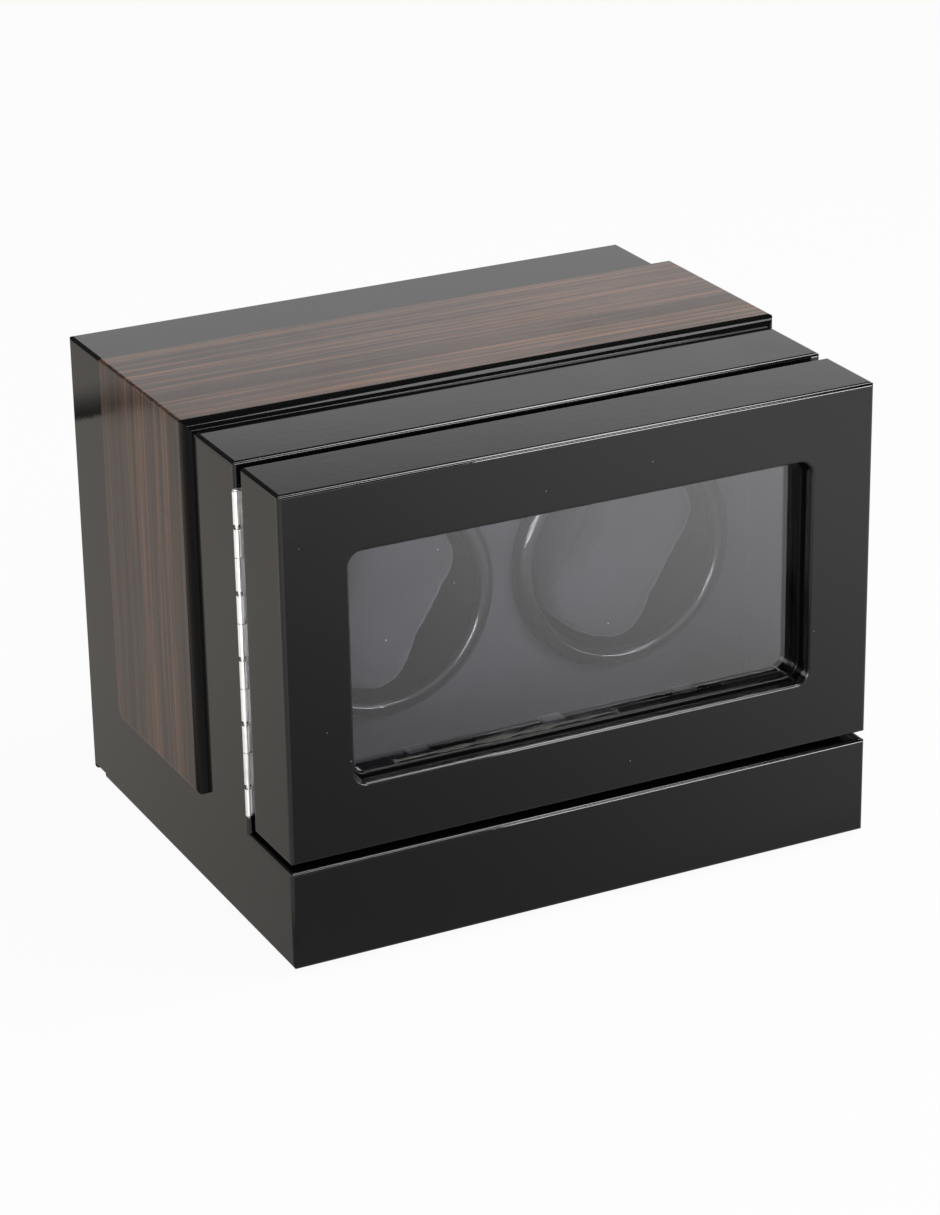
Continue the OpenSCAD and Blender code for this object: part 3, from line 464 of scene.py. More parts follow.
@dataclass(frozen=True)
class Lacquer(Finish):
    """Deep polished lacquer: a faint ripple, wiped patches and a few specks of dust."""

    roughness: float = 0.035
    ripple: float = 0.006 * MM
    dulling: float = 0.12
    shine: float = 0.5
    dust: Colour = (0.16, 0.155, 0.15)
    dust_roughness: float = 0.4

    def dress(self, coat: Coat) -> None:
        """Sets the dust, the wiped patches and the ripple.

        Args:
            coat: The material's tree.
        """
        place = coat.place()
        smudges = GROUPS.use(coat, GroupKind.SMUDGES, place)
        specks = GROUPS.use(coat, GroupKind.SPECKS, place, Scale=120.0, Size=0.03, Share=0.14)
        rough = self.dulled(coat, smudges["Mask"], self.dulling, self.roughness)
        coat.set(Base_Color=coat.mix(specks["Mask"], self.colour, self.dust),
                 Specular_IOR_Level=self.shine,
                 Roughness=self.dulled(coat, specks["Mask"], self.dust_roughness, rough),
                 Normal=coat.bump(smudges["Ripple"], strength=1.0, distance=self.ripple))


@dataclass(frozen=True)
class Veneer(Finish):
    """Streaked dark ebony under clear lacquer; the grain follows the band round the box."""

    roughness: float = 0.1
    streak: Colour = (0.33, 0.155, 0.085)
    dark: Colour = (0.035, 0.02, 0.015)
    edge: Colour = (0.05, 0.014, 0.008)
    edge_radius: float = 1.2 * MM
    upright: float = 0.7
    sheet_shift: float = 0.37
    streak_floor: float = 0.15
    pore_share: float = 0.7
    dulling: float = 0.12

    def dress(self, coat: Coat) -> None:
        """Lays the grain along X on top and along Z on the sides.

        Args:
            coat: The material's tree.
        """
        x, y, z = coat.split(coat.place())
        facing = coat.split(coat.add("NewGeometry").outputs["True Normal"])[0]
        upright = coat.math("GREATER_THAN", coat.math("ABSOLUTE", facing), self.upright)
        sheet = coat.times(upright, coat.plus(self.sheet_shift, coat.math("SIGN", x)))
        grain = GROUPS.use(coat, GroupKind.GRAIN,
                           coat.combine(coat.choose(upright, x, z), y, sheet))
        bright = coat.math("MULTIPLY", grain["Streak"],
                           coat.plus(grain["Bands"], self.streak_floor), clamp=True)
        wood = coat.mix(bright, coat.mix(grain["Bands"], self.dark, self.colour), self.streak)
        pored = coat.mix(coat.times(grain["Pores"], self.pore_share), wood, self.dark)
        smudges = GROUPS.use(coat, GroupKind.SMUDGES, coat.place())
        coat.set(Base_Color=self.worn_edges(coat, pored, self.edge, self.edge_radius),
                 Roughness=self.dulled(coat, smudges["Mask"], self.dulling, self.roughness))


@dataclass(frozen=True)
class Nap(Finish):
    """Short-napped cloth, on board or sewn into a cushion."""

    roughness: float = 0.95
    shade: Colour = (0.057, 0.055, 0.069)
    fibre: float = 3400.0
    fibre_depth: float = 0.06 * MM
    fibre_shape: Place = (1.0, 1.0, 0.6)
    fibre_share: float = 0.35
    patch: float = 32.0
    patch_share: float = 0.45

    def dress(self, coat: Coat) -> None:
        """Sets the brushed patches, the fibres and a soft sheen.

        Args:
            coat: The material's tree.
        """
        place = coat.place()
        patches = coat.noise(place, self.patch, detail=4, roughness=0.6, distortion=0.4)
        fibres = coat.noise(coat.stretched(place, self.fibre_shape), self.fibre, detail=2,
                            roughness=0.7)
        worn = coat.mix(coat.span(patches, 0.3, 0.7, self.patch_share, 0.0), self.colour,
                        self.shade)
        shaded = coat.mix(coat.span(fibres, 0.3, 0.75, 0.0, self.fibre_share), worn, self.shade)
        coat.set(Base_Color=shaded, Sheen_Weight=0.2, Sheen_Roughness=0.5,
                 Normal=coat.bump(fibres, strength=0.6, distance=self.fibre_depth))


@dataclass(frozen=True)
class Moulded(Finish):
    """Moulded plastic or rubber, polished or finely pebbled."""

    pebble: float = 1800.0
    depth: float = 0.01 * MM
    worn: Colour = (0.12, 0.12, 0.12)
    wear: float = 0.3 * MM
    dulling: float = 0.2

    def dress(self, coat: Coat) -> None:
        """Sets the fine pebble, smudges and rubbed edges.

        Args:
            coat: The material's tree.
        """
        pebble = GROUPS.use(coat, GroupKind.PEBBLE, coat.place(), Scale=self.pebble)
        smudges = GROUPS.use(coat, GroupKind.SMUDGES, coat.place(), Scale=40.0)
        coat.set(Base_Color=self.worn_edges(coat, self.colour, self.worn, self.wear),
                 Roughness=self.dulled(coat, smudges["Mask"], self.dulling, self.roughness),
                 Normal=coat.bump(pebble["Height"], strength=0.5, distance=self.depth))


@dataclass(frozen=True)
class Metal(Finish):
    """Plated, turned or ground metal with fine lines along one axis."""

    axis: Axis = Axis.X
    line_depth: float = 0.004 * MM
    tarnish: Colour = (0.35, 0.34, 0.33)
    tarnish_share: float = 0.45
    wear: float = 0.2 * MM
    brighter: float = 1.25
    smoothest: float = 0.75
    roughest: float = 1.4

    def dress(self, coat: Coat) -> None:
        """Sets the lines, faint tarnish and brighter edges.

        Args:
            coat: The material's tree.
        """
        brushed = GROUPS.use(coat, GroupKind.BRUSHED, coat.turned(self.axis))
        dull = coat.span(brushed["Patches"], 0.5, 0.8, 0.0, self.tarnish_share)
        toned = coat.mix(dull, self.colour, self.tarnish)
        rubbed = tuple(min(1.0, self.brighter * part) for part in self.colour)
        coat.set(Base_Color=self.worn_edges(coat, toned, rubbed, self.wear), Metallic=1.0,
                 Roughness=coat.span(brushed["Lines"], 0.3, 0.7,
                                     self.roughness * self.smoothest,
                                     self.roughness * self.roughest),
                 Normal=coat.bump(brushed["Lines"], strength=0.6, distance=self.line_depth))


@dataclass(frozen=True)
class SawnWood(Finish):
    """Bare or matt-painted board with saw marks and open grain."""

    roughness: float = 0.8
    dark: Colour = (0.28, 0.17, 0.09)
    axis: Axis = Axis.X
    fibre_depth: float = 0.1 * MM
    pore_share: float = 0.6

    def dress(self, coat: Coat) -> None:
        """Sets the grain, its pores and a fibrous bump.

        Args:
            coat: The material's tree.
        """
        grain = GROUPS.use(coat, GroupKind.GRAIN, coat.turned(self.axis), Bands=150.0,
                           Streaks=900.0)
        ground = coat.mix(grain["Bands"], self.dark, self.colour)
        pores = coat.times(grain["Pores"], self.pore_share)
        coat.set(Base_Color=coat.mix(pores, ground, self.dark),
                 Normal=coat.bump(grain["Streak"], strength=0.5, distance=self.fibre_depth))


@dataclass(frozen=True)
class ClearGlass(Finish):
    """A clear pane with a few specks of dust; light for shadows passes through it."""

    roughness: float = 0.0
    bend: float = 1.8
    dust_roughness: float = 0.8

    def dress(self, coat: Coat) -> None:
        """Sets the glass and its dust, and lets light pass.

        Args:
            coat: The material's tree.
        """
        specks = GROUPS.use(coat, GroupKind.SPECKS, coat.place(), Scale=150.0, Size=0.035,
                            Share=0.12)
        coat.set(Roughness=coat.times(specks["Mask"], self.dust_roughness),
                 Transmission_Weight=1.0, IOR=self.bend)
        path = coat.add("LightPath").outputs
        unseen = coat.math("MAXIMUM", path["Is Shadow Ray"], path["Is Diffuse Ray"])
        clear = coat.add("BsdfTransparent").outputs[0]
        coat.put(coat.either(unseen, coat.shader.outputs[0], clear),
                 coat.output.inputs["Surface"])


@dataclass(frozen=True)
class PrintedBoard(Finish):
    """Green solder mask with copper tracks; what stands on it is black or blue."""

    roughness: float = 0.35
    face: float = 0.0
    track: Colour = (0.09, 0.28, 0.12)
    track_depth: float = 0.05 * MM
    chip: Colour = (0.015, 0.015, 0.016)
    plug: Colour = (0.02, 0.03, 0.09)
    plug_side: float = 4 * MM

    def dress(self, coat: Coat) -> None:
        """Colours the board by how far a point stands out of it.

        Args:
            coat: The material's tree.
        """
        x, y, z = coat.split(coat.place())
        lines = coat.add("TexBrick", {"Scale": 160.0, "Mortar Size": 0.06,
                                      "Vector": coat.combine(x, z)}).outputs["Fac"]
        parts = coat.mix(coat.math("GREATER_THAN", x, self.plug_side), self.chip, self.plug)
        board = coat.mix(lines, self.colour, self.track)
        coat.set(Base_Color=coat.mix(coat.math("GREATER_THAN", y, self.face), board, parts),
                 Normal=coat.bump(lines, strength=0.3, distance=self.track_depth))


BLACK = (0.004, 0.004, 0.0043)
DULL_LACQUER = Lacquer("dull_lacquer", BLACK, shine=0.12)
BOARD_THICKNESS = 1.62 * MM


def finishes() -> dict[str, Finish]:
    """Every finish of the box.

    Returns:
        The finishes by slot: the record's material slots, and sealant.
    """
    board_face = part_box("circuit_board")[0].y + BOARD_THICKNESS
    made = [
        Lacquer("black_lacquer", BLACK),
        Veneer("ebony_veneer", (0.08, 0.053, 0.045)),
        Nap("grey_suede", (0.087, 0.084, 0.107)),
        Nap("grey_cushion", (0.092, 0.087, 0.108), shade=(0.062, 0.059, 0.072), fibre=2600.0),
        Lacquer("black_gloss_plastic", (0.022, 0.022, 0.024), 0.03, ripple=0.003 * MM,
                dulling=0.05),
        Moulded("black_satin_plastic", (0.02, 0.02, 0.021), 0.35),
        ClearGlass("clear_glass", (0.955, 0.94, 0.985)),
        Metal("bright_nickel", (0.95, 0.95, 0.95), 0.4, axis=Axis.Z),
        Metal("zinc_steel", (0.6, 0.61, 0.63), 0.3),
        Metal("ground_steel", (0.66, 0.66, 0.67), 0.22, axis=Axis.Y),
        Metal("motor_can", (0.55, 0.55, 0.56), 0.34, axis=Axis.Y),
        Metal("turned_brass", (0.8, 0.58, 0.26), 0.24, axis=Axis.Y, tarnish=(0.45, 0.3, 0.12)),
        Moulded("white_nylon", (0.75, 0.73, 0.66), 0.42, pebble=1500.0, depth=0.02 * MM,
                worn=(0.85, 0.84, 0.8)),
        SawnWood("pale_wood", (0.55, 0.4, 0.24)),
        SawnWood("black_board", (0.02, 0.02, 0.02), 0.7, dark=(0.008, 0.008, 0.008)),
        Moulded("black_rubber", (0.018, 0.018, 0.018), 0.8, pebble=1300.0, depth=0.04 * MM),
        PrintedBoard("green_board", (0.02, 0.11, 0.045), face=board_face),
        Moulded("black_matte_plastic", (0.016, 0.016, 0.017), 0.5, pebble=1600.0,
                depth=0.03 * MM),
        Moulded("red_plastic", (0.32, 0.012, 0.01), 0.2, pebble=1600.0, worn=(0.5, 0.1, 0.08)),
        Moulded("sealant", (0.035, 0.029, 0.023), 0.4, pebble=900.0, depth=0.04 * MM,
                worn=(0.12, 0.105, 0.09)),
    ]
    return {finish.slot: finish for finish in made}


# ------------------------------------------------------------------ shared mesh tools
def linked(name: str, data: bpy.types.ID) -> Object:
    """Puts a mesh, a light or a camera in the scene.

    Args:
        name: Name of the object.
        data: What it shows.

    Returns:
        The new object.
    """
    made = bpy.data.objects.new(name, data)
    bpy.context.scene.collection.objects.link(made)
    return made


def add_piece(name: str, mesh: Mesh, body: str, finish: Finish,
              ) -> Object:
    """Puts a finished mesh in the scene as a piece of the box.

    Args:
        name: Name of the piece.
        mesh: Its mesh, in the frame's own place.
        body: The body that it rides on.
        finish: Its finish.

    Returns:
        The new object.
    """
    piece = linked(name, mesh)
    mesh.materials.clear()
    mesh.materials.append(finish.material())
    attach(piece, body)
    return piece


def settle(piece: Object) -> Mesh:
    """Applies an object's modifiers to its mesh.

    Args:
        piece: The object; it keeps the settled mesh and no modifier.

    Returns:
        That mesh.
    """
    graph = bpy.context.evaluated_depsgraph_get()
    mesh = bpy.data.meshes.new_from_object(piece.evaluated_get(graph))
    piece.modifiers.clear()
    piece.data = mesh
    return mesh


def smooth(mesh: Mesh) -> Mesh:
    """Shades every face of a mesh smoothly and returns the mesh."""
    mesh.polygons.foreach_set("use_smooth", [True] * len(mesh.polygons))
    return mesh


def loft(shell: BMesh, rings: Sequence[Sequence[Vector]], capped: bool = True) -> None:
    """Joins rings of points by faces.

    Args:
        shell: The mesh that gets the faces.
        rings: Rings with the same number of points each.
        capped: Whether the first and the last ring are filled; if not, they are joined.
    """
    made = [[shell.verts.new(point) for point in ring] for ring in rings]
    for near, far in zip(made, made[1:] if capped else made[1:] + made[:1]):
        for i in range(len(near)):
            j = (i + 1) % len(near)
            shell.faces.new((near[i], near[j], far[j], far[i]))
    if capped:
        shell.faces.new(made[0])
        shell.faces.new(made[-1])


def prism(shell: BMesh, outline: Sequence[Vector], rise: Vector) -> None:
    """Adds a closed prism: rise leads from its foot to its top."""
    loft(shell, [outline, [point + rise for point in outline]])


def closed(shell: BMesh, name: str) -> Mesh:
    """Turns a finished bmesh into a mesh whose faces all look outwards.

    Args:
        shell: The bmesh; it is freed.
        name: Name of the mesh.

    Returns:
        The mesh.
    """
    bmesh.ops.recalc_face_normals(shell, faces=shell.faces)
    mesh = bpy.data.meshes.new(name)
    shell.to_mesh(mesh)
    shell.free()
    return mesh


# ------------------------------------------------------------------ sub-assemblies
@dataclass
class SubAssembly:
    """A group of the box's own nodes, dressed and completed together."""

    frame: dict
    table: dict[str, Finish]
    crease: float = math.radians(28)
    parts: tuple[str, ...] = ()
    dull: str = ""

    def named(self, part: str) -> str:
        """Name of the node of a part."""
        return part

    def build(self) -> list[Object]:
        """Makes the pieces that the group adds to its nodes."""
        return []

    def dress(self) -> None:
        """Gives each node its finish and smooth curved faces, and one a duller black."""
        slots = {row["node"]: row["material_slot"]
                 for row in self.frame["record"]["subparts"]}
        for name in map(self.named, self.parts):
            mesh = self.frame["nodes"][name].data
            finish = DULL_LACQUER if name == self.dull else self.table[slots[name]]
            mesh.materials.clear()
            mesh.materials.append(finish.material())
            smooth(mesh).set_sharp_from_angle(angle=self.crease)

    def run(self) -> list[str]:
        """Dresses and builds the group and reports each piece.

        Returns:
            Names of the nodes that it dressed.
        """
        nodes = [self.named(part) for part in self.parts]
        self.dress()
        for piece in self.build():
            LOG.info("%s made %s with %d faces", type(self).__name__, piece.name,
                     len(piece.data.polygons))
        LOG.info("%s dressed %s", type(self).__name__, ", ".join(nodes))
        return nodes


@dataclass
class Case(SubAssembly):
    """The lacquered case, its lined compartment, inner boards and feet."""

    parts: tuple[str, ...] = (
        "case_shell", "inner_lining", "cup_panel", "side_cleats", "carrier_board",
        "carrier_screws", "corner_blocks", "base_board", "feet", "foot_screws",
        "catch_magnets")
    lining: float = 1.5 * MM
    roll_radius: float = 1.1 * MM
    roll_steps: int = 6

    def build(self) -> list[Object]:
        """Lays a turned-in edge of cloth along the inner corners of the compartment.

        Returns:
            The edge.
        """
        low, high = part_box("inner_lining")
        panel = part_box("cup_panel")[0].y
        x, bottom, top = high.x - self.lining, low.z + self.lining, high.z - self.lining
        turns = [math.pi / 2 * step / self.roll_steps for step in range(self.roll_steps + 1)]
        rings = []
        for across, up, z in ((-1, -1, bottom), (1, -1, bottom), (1, 1, top), (-1, 1, top)):
            corner = Vector((across * x, panel, z))
            rings.append([*(corner + self.roll_radius * Vector((
                -across * (1 - math.cos(turn)), math.sin(turn) - 1,
                -up * (1 - math.cos(turn)))) for turn in turns), corner])
        shell = bmesh.new()
        loft(shell, rings, capped=False)
        mesh = smooth(closed(shell, "lining_edge"))
        return [add_piece("lining_edge", mesh, "case", self.table["grey_suede"])]


@dataclass
class VeneerBand(SubAssembly):
    """The veneered saddle over the case and its rounded nose in a duller black."""

    parts: tuple[str, ...] = ("veneer_band", "band_nose")
    dull: str = "band_nose"


@dataclass
class Door(SubAssembly):
    """The glazed door, its bead in a duller black, and the sealant under its glass."""

    parts: tuple[str, ...] = (
        "door_frame", "door_glass", "glazing_bead", "glass_retainer", "retainer_clips",
        "retainer_screws", "door_keepers")
    dull: str = "glazing_bead"
    glue_start: float = -0.80
    glue_end: float = 0.18
    glue_run: float = 1.7 * MM
    glue_rise: float = 0.4 * MM
    glue_steps: int = 90
    glue_thin: float = 0.35
    glue_most: float = 1.3
    blob_run: float = 1.2 * MM
    # Height and rate of each wave in the width of the run
    waves: tuple[tuple[float, float], ...] = ((0.25, 31.0), (0.15, 67.0))
    # Its section, out from the glass and up from the sill, as shares of run and rise
    profile: tuple[tuple[float, float], ...] = (
        (0, 0), (0, 1), (0.35, 0.85), (0.75, 0.4), (1, 0))

    def build(self) -> list[Object]:
        """Lays a thin run of sealant, with a blob at each end, in the sill's corner.

        Returns:
            The sealant.
        """
        low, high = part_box("glazing_bead")
        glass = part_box("door_glass")[0].y
        half = (high.x - low.x) / 2
        bead = self.frame["nodes"]["glazing_bead"]
        above = Vector((0.0, glass - self.glue_run / 2, (low.z + high.z) / 2))
        floor = bead.ray_cast(above, Vector((0, 0, -1)))[1].z
        start, end = half * self.glue_start, half * self.glue_end
        rings = []
        for step in range(self.glue_steps + 1):
            share = step / self.glue_steps
            x = start + (end - start) * share
            wave = 1 + sum(height * math.sin(share * rate) for height, rate in self.waves)
            blob = math.exp(-((min(share, 1 - share) * (end - start)) / self.blob_run) ** 2)
            swell = self.glue_thin + (1 - self.glue_thin) * math.sin(math.pi * share)
            size = wave * swell + blob
            reach, rise = self.glue_run * min(size, self.glue_most), self.glue_rise * (size + blob)
            rings.append([Vector((x, glass - reach * out, floor + rise * up))
                          for out, up in self.profile])
        shell = bmesh.new()
        loft(shell, rings)
        mesh = smooth(closed(shell, "sealant"))
        return [add_piece("sealant", mesh, "door", self.table["sealant"])]


@dataclass
class PianoHinge(SubAssembly):
    """The nickel piano hinge between the case and the door."""

    parts: tuple[str, ...] = (
        "case_hinge_leaf", "case_hinge_screws", "hinge_pin", "door_hinge_leaf",
        "door_hinge_screws")


@dataclass
class GearTrain(SubAssembly):
    """Two motors that turn the cups' gears between two plates, and their circuit board."""

    parts: tuple[str, ...] = (
        "cup_bushes", "plate_pillars", "plate_screws", "circuit_board",
        "circuit_board_spacers", "circuit_board_screws",
        *(side.value + part for side in Side for part in (
            "_cup_gear", "_motor_plate", "_motor", "_motor_shaft", "_motor_pinion")))


@dataclass
class RearPanel(SubAssembly):
    """The rear cover with its inlet, rocker and two knobs, and their printed marks."""

    parts: tuple[str, ...] = (
        "rear_cover", "rear_cover_screws", "power_inlet", "power_inlet_nut", "power_switch",
        "power_rocker", "left_mode_switch", "right_mode_switch", "left_mode_knob",
        "right_mode_knob")
    tick_inner: float = 9.3 * MM
    tick_outer: float = 11.3 * MM
    tick_width: float = 0.8 * MM
    tick_turn: float = math.radians(45.0)
    print_rise: float = 0.05 * MM
    mark_place: float = 4.3 * MM
    mark_size: float = 1.7 * MM
    mark_line: float = 0.5 * MM
    ring_steps: int = 32
    probe: float = 10 * MM
    weld: float = 0.0001 * MM

    def build(self) -> list[Object]:
        """Prints the marks.

        Returns:
            The knobs' ticks and the rocker's marks.
        """
        return [self.ticks(), self.rocker_marks()]

    def ticks(self) -> Object:
        """Prints three ticks round each knob, one for each of its stops.

        Returns:
            All the ticks as one piece.
        """
        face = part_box("rear_cover")[1].y
        shell = bmesh.new()
        for side in Side:
            low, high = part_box(side.value + "_mode_knob")
            foot = Vector(((low.x + high.x) / 2, face, (low.z + high.z) / 2))
            for angle in (-self.tick_turn, 0.0, self.tick_turn):
                out = Vector((math.sin(angle), 0, math.cos(angle)))
                over = Vector((out.z, 0, -out.x)) * self.tick_width / 2
                near, far = foot + out * self.tick_inner, foot + out * self.tick_outer
                prism(shell, [near - over, near + over, far + over, far - over],
                      Vector((0, self.print_rise, 0)))
        return add_piece("knob_ticks", closed(shell, "knob_ticks"), "case",
                         self.table["white_nylon"])

    def rocker_marks(self) -> Object:
        """Moulds a line on one half of the rocker and a ring on the other.

        Returns:
            Both marks as one piece.
        """
        shell = bmesh.new()
        low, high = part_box("power_rocker")
        middle = (low + high) / 2
        rocker = self.frame["nodes"]["power_rocker"]

        def laid(across: float, up: float) -> Vector:
            """The point of the rocker's face that lies behind a place."""
            start = Vector((middle.x + across, high.y + self.probe, middle.z + up))
            return rocker.ray_cast(start, Vector((0, -1, 0)))[1]

        rise = Vector((0, self.print_rise * 2, 0))
        half, line = self.mark_size, self.mark_line / 2
        prism(shell, [laid(self.mark_place + x, z) for x, z in
                      ((-line, -half), (line, -half), (line, half), (-line, half))], rise)
        for step in range(self.ring_steps):
            a, b = (2 * math.pi * n / self.ring_steps for n in (step, step + 1))
            prism(shell, [laid(-self.mark_place + r * math.cos(t), r * math.sin(t))
                          for r, t in ((half - line, a), (half - line, b),
                                       (half + line, b), (half + line, a))], rise)
        bmesh.ops.remove_doubles(shell, verts=shell.verts, dist=self.weld)
        return add_piece("rocker_marks", closed(shell, "rocker_marks"), "rocker",
                         self.table["white_nylon"])


@dataclass
class CupStation(SubAssembly):
    """One turning cup with its rim, shaft and stuffed watch cushion."""

    parts: tuple[str, ...] = ("cup", "cup_rim", "cup_shaft", "cushion")
    side: Side = Side.LEFT
    length: float = 71 * MM
    width: float = 47 * MM
    turn: float = math.radians(60)
    slack: float = 1.4 * MM
    corner_power: int = 9
    # Depths behind a face, and how far the outline draws in at each
    rounding: tuple[tuple[float, float], ...] = (
        (0.0, 4.2 * MM), (1.0 * MM, 1.7 * MM), (3.0 * MM, 0.4 * MM), (5.6 * MM, 0.0))
    around: int = 120
    voxel: float = 2.6 * MM
    cap: float = 3.0 * MM
    pressure: float = 4.0
    frames: int = 20
    flat_bulge: float = 0.3 * MM
    seam_inset: float = 6.0 * MM
    seam_depth: float = 0.7 * MM
    seam_half_width: float = 1.3 * MM
    stitch_pitch: float = 3.4 * MM
    stitch_length: float = 2.1 * MM
    stitch_radius: float = 0.2 * MM
    probes: int = 720

    def named(self, part: str) -> str:
        """Name of one of this side's nodes."""
        return self.side.value + "_" + part

    def outline(self) -> list[tuple[float, float]]:
        """The cushion's outline before it swells: a circle cut by two flats.

        Returns:
            Places along and across the cushion, from its middle.
        """
        radius, half = self.length / 2 - self.slack, self.width / 2 - self.slack
        power = self.corner_power
        points = []
        for step in range(self.around):
            angle = 2 * math.pi * step / self.around
            flat = abs(math.sin(angle)) / half
            reach = (radius ** -power + flat ** power) ** (-1 / power)
            points.append((reach * math.cos(angle), reach * math.sin(angle)))
        return points

    def block(self, middle: Vector, front: float, rear: float) -> Object:
        """Makes the plain block that the cloth is blown up from.

        Args:
            middle: Middle of the cushion.
            front: Y of its front.
            rear: Y of its rear.

        Returns:
            An object of its own, remeshed evenly.
        """
        cos, sin = math.cos(self.turn), math.sin(self.turn)
        stations = [(front + self.slack + depth, draw) for depth, draw in self.rounding]
        stations += [(rear - self.slack - depth, draw) for depth, draw in self.rounding[::-1]]
        outline = self.outline()
        rings = []
        for y, draw in stations:
            shrink = 1 - draw / (self.length / 2)
            rings.append([Vector((middle.x + (u * cos - v * sin) * shrink, y,
                                  middle.z + (u * sin + v * cos) * shrink))
                          for u, v in outline])
        shell = bmesh.new()
        loft(shell, rings)
        block = linked("block", closed(shell, "block"))
        remesh = block.modifiers.new("voxels", "REMESH")
        remesh.mode = "VOXEL"
        remesh.voxel_size = self.voxel
        settle(block)
        return block

    def blow_up(self, block: Object) -> None:
        """Fills the block with pressure as cloth, then caps how far each point moved.

        Args:
            block: The remeshed block; its mesh is replaced.
        """
        before = [vertex.co.copy() for vertex in block.data.vertices]
        cloth = block.modifiers.new("cloth", "CLOTH")
        cloth.settings.use_pressure = True
        cloth.settings.uniform_pressure_force = self.pressure
        cloth.settings.effector_weights.gravity = 0.0
        cloth.point_cache.frame_start = 1
        cloth.point_cache.frame_end = self.frames
        for number in range(1, self.frames + 1):
            bpy.context.scene.frame_set(number)
        for vertex, old in zip(settle(block).vertices, before):
            step = vertex.co - old
            if step.length > self.cap:
                vertex.co = old + step.normalized() * self.cap
        bpy.context.scene.frame_set(1)

    def fit(self, mesh: Mesh, low: Vector, high: Vector, middle: Vector) -> None:
        """Keeps the cushion inside the space of its CAD solid and sews its seams.

        Args:
            mesh: The cushion's mesh.
            low: Lowest corner of the CAD solid.
            high: Highest corner of the CAD solid.
            middle: Middle of the cushion.
        """
        seams = (low.y + self.seam_inset, high.y - self.seam_inset)
        across = Vector((-math.sin(self.turn), 0, math.cos(self.turn)))
        for vertex in mesh.vertices:
            place = vertex.co
            place.y = min(max(place.y, low.y), high.y)
            arm = Vector((place.x - middle.x, 0.0, place.z - middle.z))
            over = abs(arm.dot(across)) - self.width / 2 - self.flat_bulge
            if over > 0:
                arm -= across * math.copysign(over, arm.dot(across))
            if arm.length > self.length / 2:
                arm = arm.normalized() * self.length / 2
            near = min(abs(place.y - seam) for seam in seams) / self.seam_half_width
            if near < 1 and arm.length > self.width / 4:
                arm -= arm.normalized() * self.seam_depth * (1 + math.cos(math.pi * near)) / 2
            place.x, place.z = middle.x + arm.x, middle.z + arm.z

    def stitches(self, mesh: Mesh, middle: Vector, seam: float) -> Mesh:
        """Sews a row of thread stitches just in front of a seam.

        Args:
            mesh: The cushion's mesh that they lie on.
            middle: Middle of the cushion.
            seam: Y of the row.

        Returns:
            One mesh with every stitch.
        """
        surface = linked("stitch_surface", mesh)
        bpy.context.view_layer.update()
        path: list[Vector] = []
        for step in range(self.probes):
            angle = 2 * math.pi * step / self.probes
            out = Vector((math.cos(angle), 0.0, math.sin(angle)))
            start = Vector((middle.x, seam, middle.z)) + out * self.length
            hit, where, _, _ = surface.ray_cast(start, -out)
            if hit:
                path.append(where + out * self.stitch_radius * 0.5)
        bpy.data.objects.remove(surface)
        shell = bmesh.new()
        travelled, start, last = 0.0, path[0], path[0]
        for point in path[1:] + path[:1]:
            travelled += (point - last).length
            last = point
            if travelled >= self.stitch_pitch:
                self.stitch(shell, start, point)
                travelled, start = 0.0, point
            elif travelled < self.stitch_pitch - self.stitch_length:
                start = point
        return smooth(closed(shell, "stitches"))

    def stitch(self, shell: BMesh, start: Vector, end: Vector) -> None:
        """Adds one thread, thick in its middle.

        Args:
            shell: The mesh that it joins.
            start: Where it comes out.
            end: Where it goes in.
        """
        run = end - start
        turn = run.to_track_quat("Z", "Y").to_matrix().to_4x4()
        shape = Matrix.Translation((start + end) / 2) @ turn @ Matrix.Diagonal(
            (1.0, 1.0, run.length / (2 * self.stitch_radius), 1.0))
        bmesh.ops.create_icosphere(shell, subdivisions=2, radius=self.stitch_radius,
                                   matrix=shape)

    def build(self) -> list[Object]:
        """Makes the stuffed cushion and its stitches.

        Returns:
            The cushion and its stitches.
        """
        node = self.named("cushion")
        low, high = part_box(node)
        middle = (low + high) / 2
        block = self.block(middle, low.y, high.y)
        self.blow_up(block)
        subdivide = block.modifiers.new("soft", "SUBSURF")
        subdivide.levels = subdivide.render_levels = 1
        mesh = settle(block)
        bpy.data.objects.remove(block)
        self.fit(mesh, low, high, middle)
        smooth(mesh)
        finish = self.table["grey_cushion"]
        thread = self.stitches(mesh, middle, low.y + self.seam_inset - self.seam_half_width)
        cushion = add_piece(self.named("stuffed_cushion"), mesh, node, finish)
        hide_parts(node)
        return [cushion, add_piece(self.named("cushion_stitches"), thread, node, finish)]


# ------------------------------------------------------------------ studio
@dataclass(frozen=True)
class Lamp:
    """One softbox: where it stands, its width and height, and its power in watts."""

    name: str
    place: Place
    size: tuple[float, float]
    power: float
    gloss_only: bool = False

    def build(self, aim: Vector) -> None:
        """Hangs the lamp where the camera doesn't see it.

        Args:
            aim: What it points at.
        """
        light = bpy.data.lights.new(self.name, "AREA")
        light.shape = "RECTANGLE"
        light.size, light.size_y = self.size
        light.energy = self.power
        lamp = linked(self.name, light)
        lamp.location = self.place
        lamp.rotation_euler = (aim - lamp.location).to_track_quat("-Z", "Y").to_euler()
        lamp.visible_camera = False
        lamp.visible_diffuse = not self.gloss_only


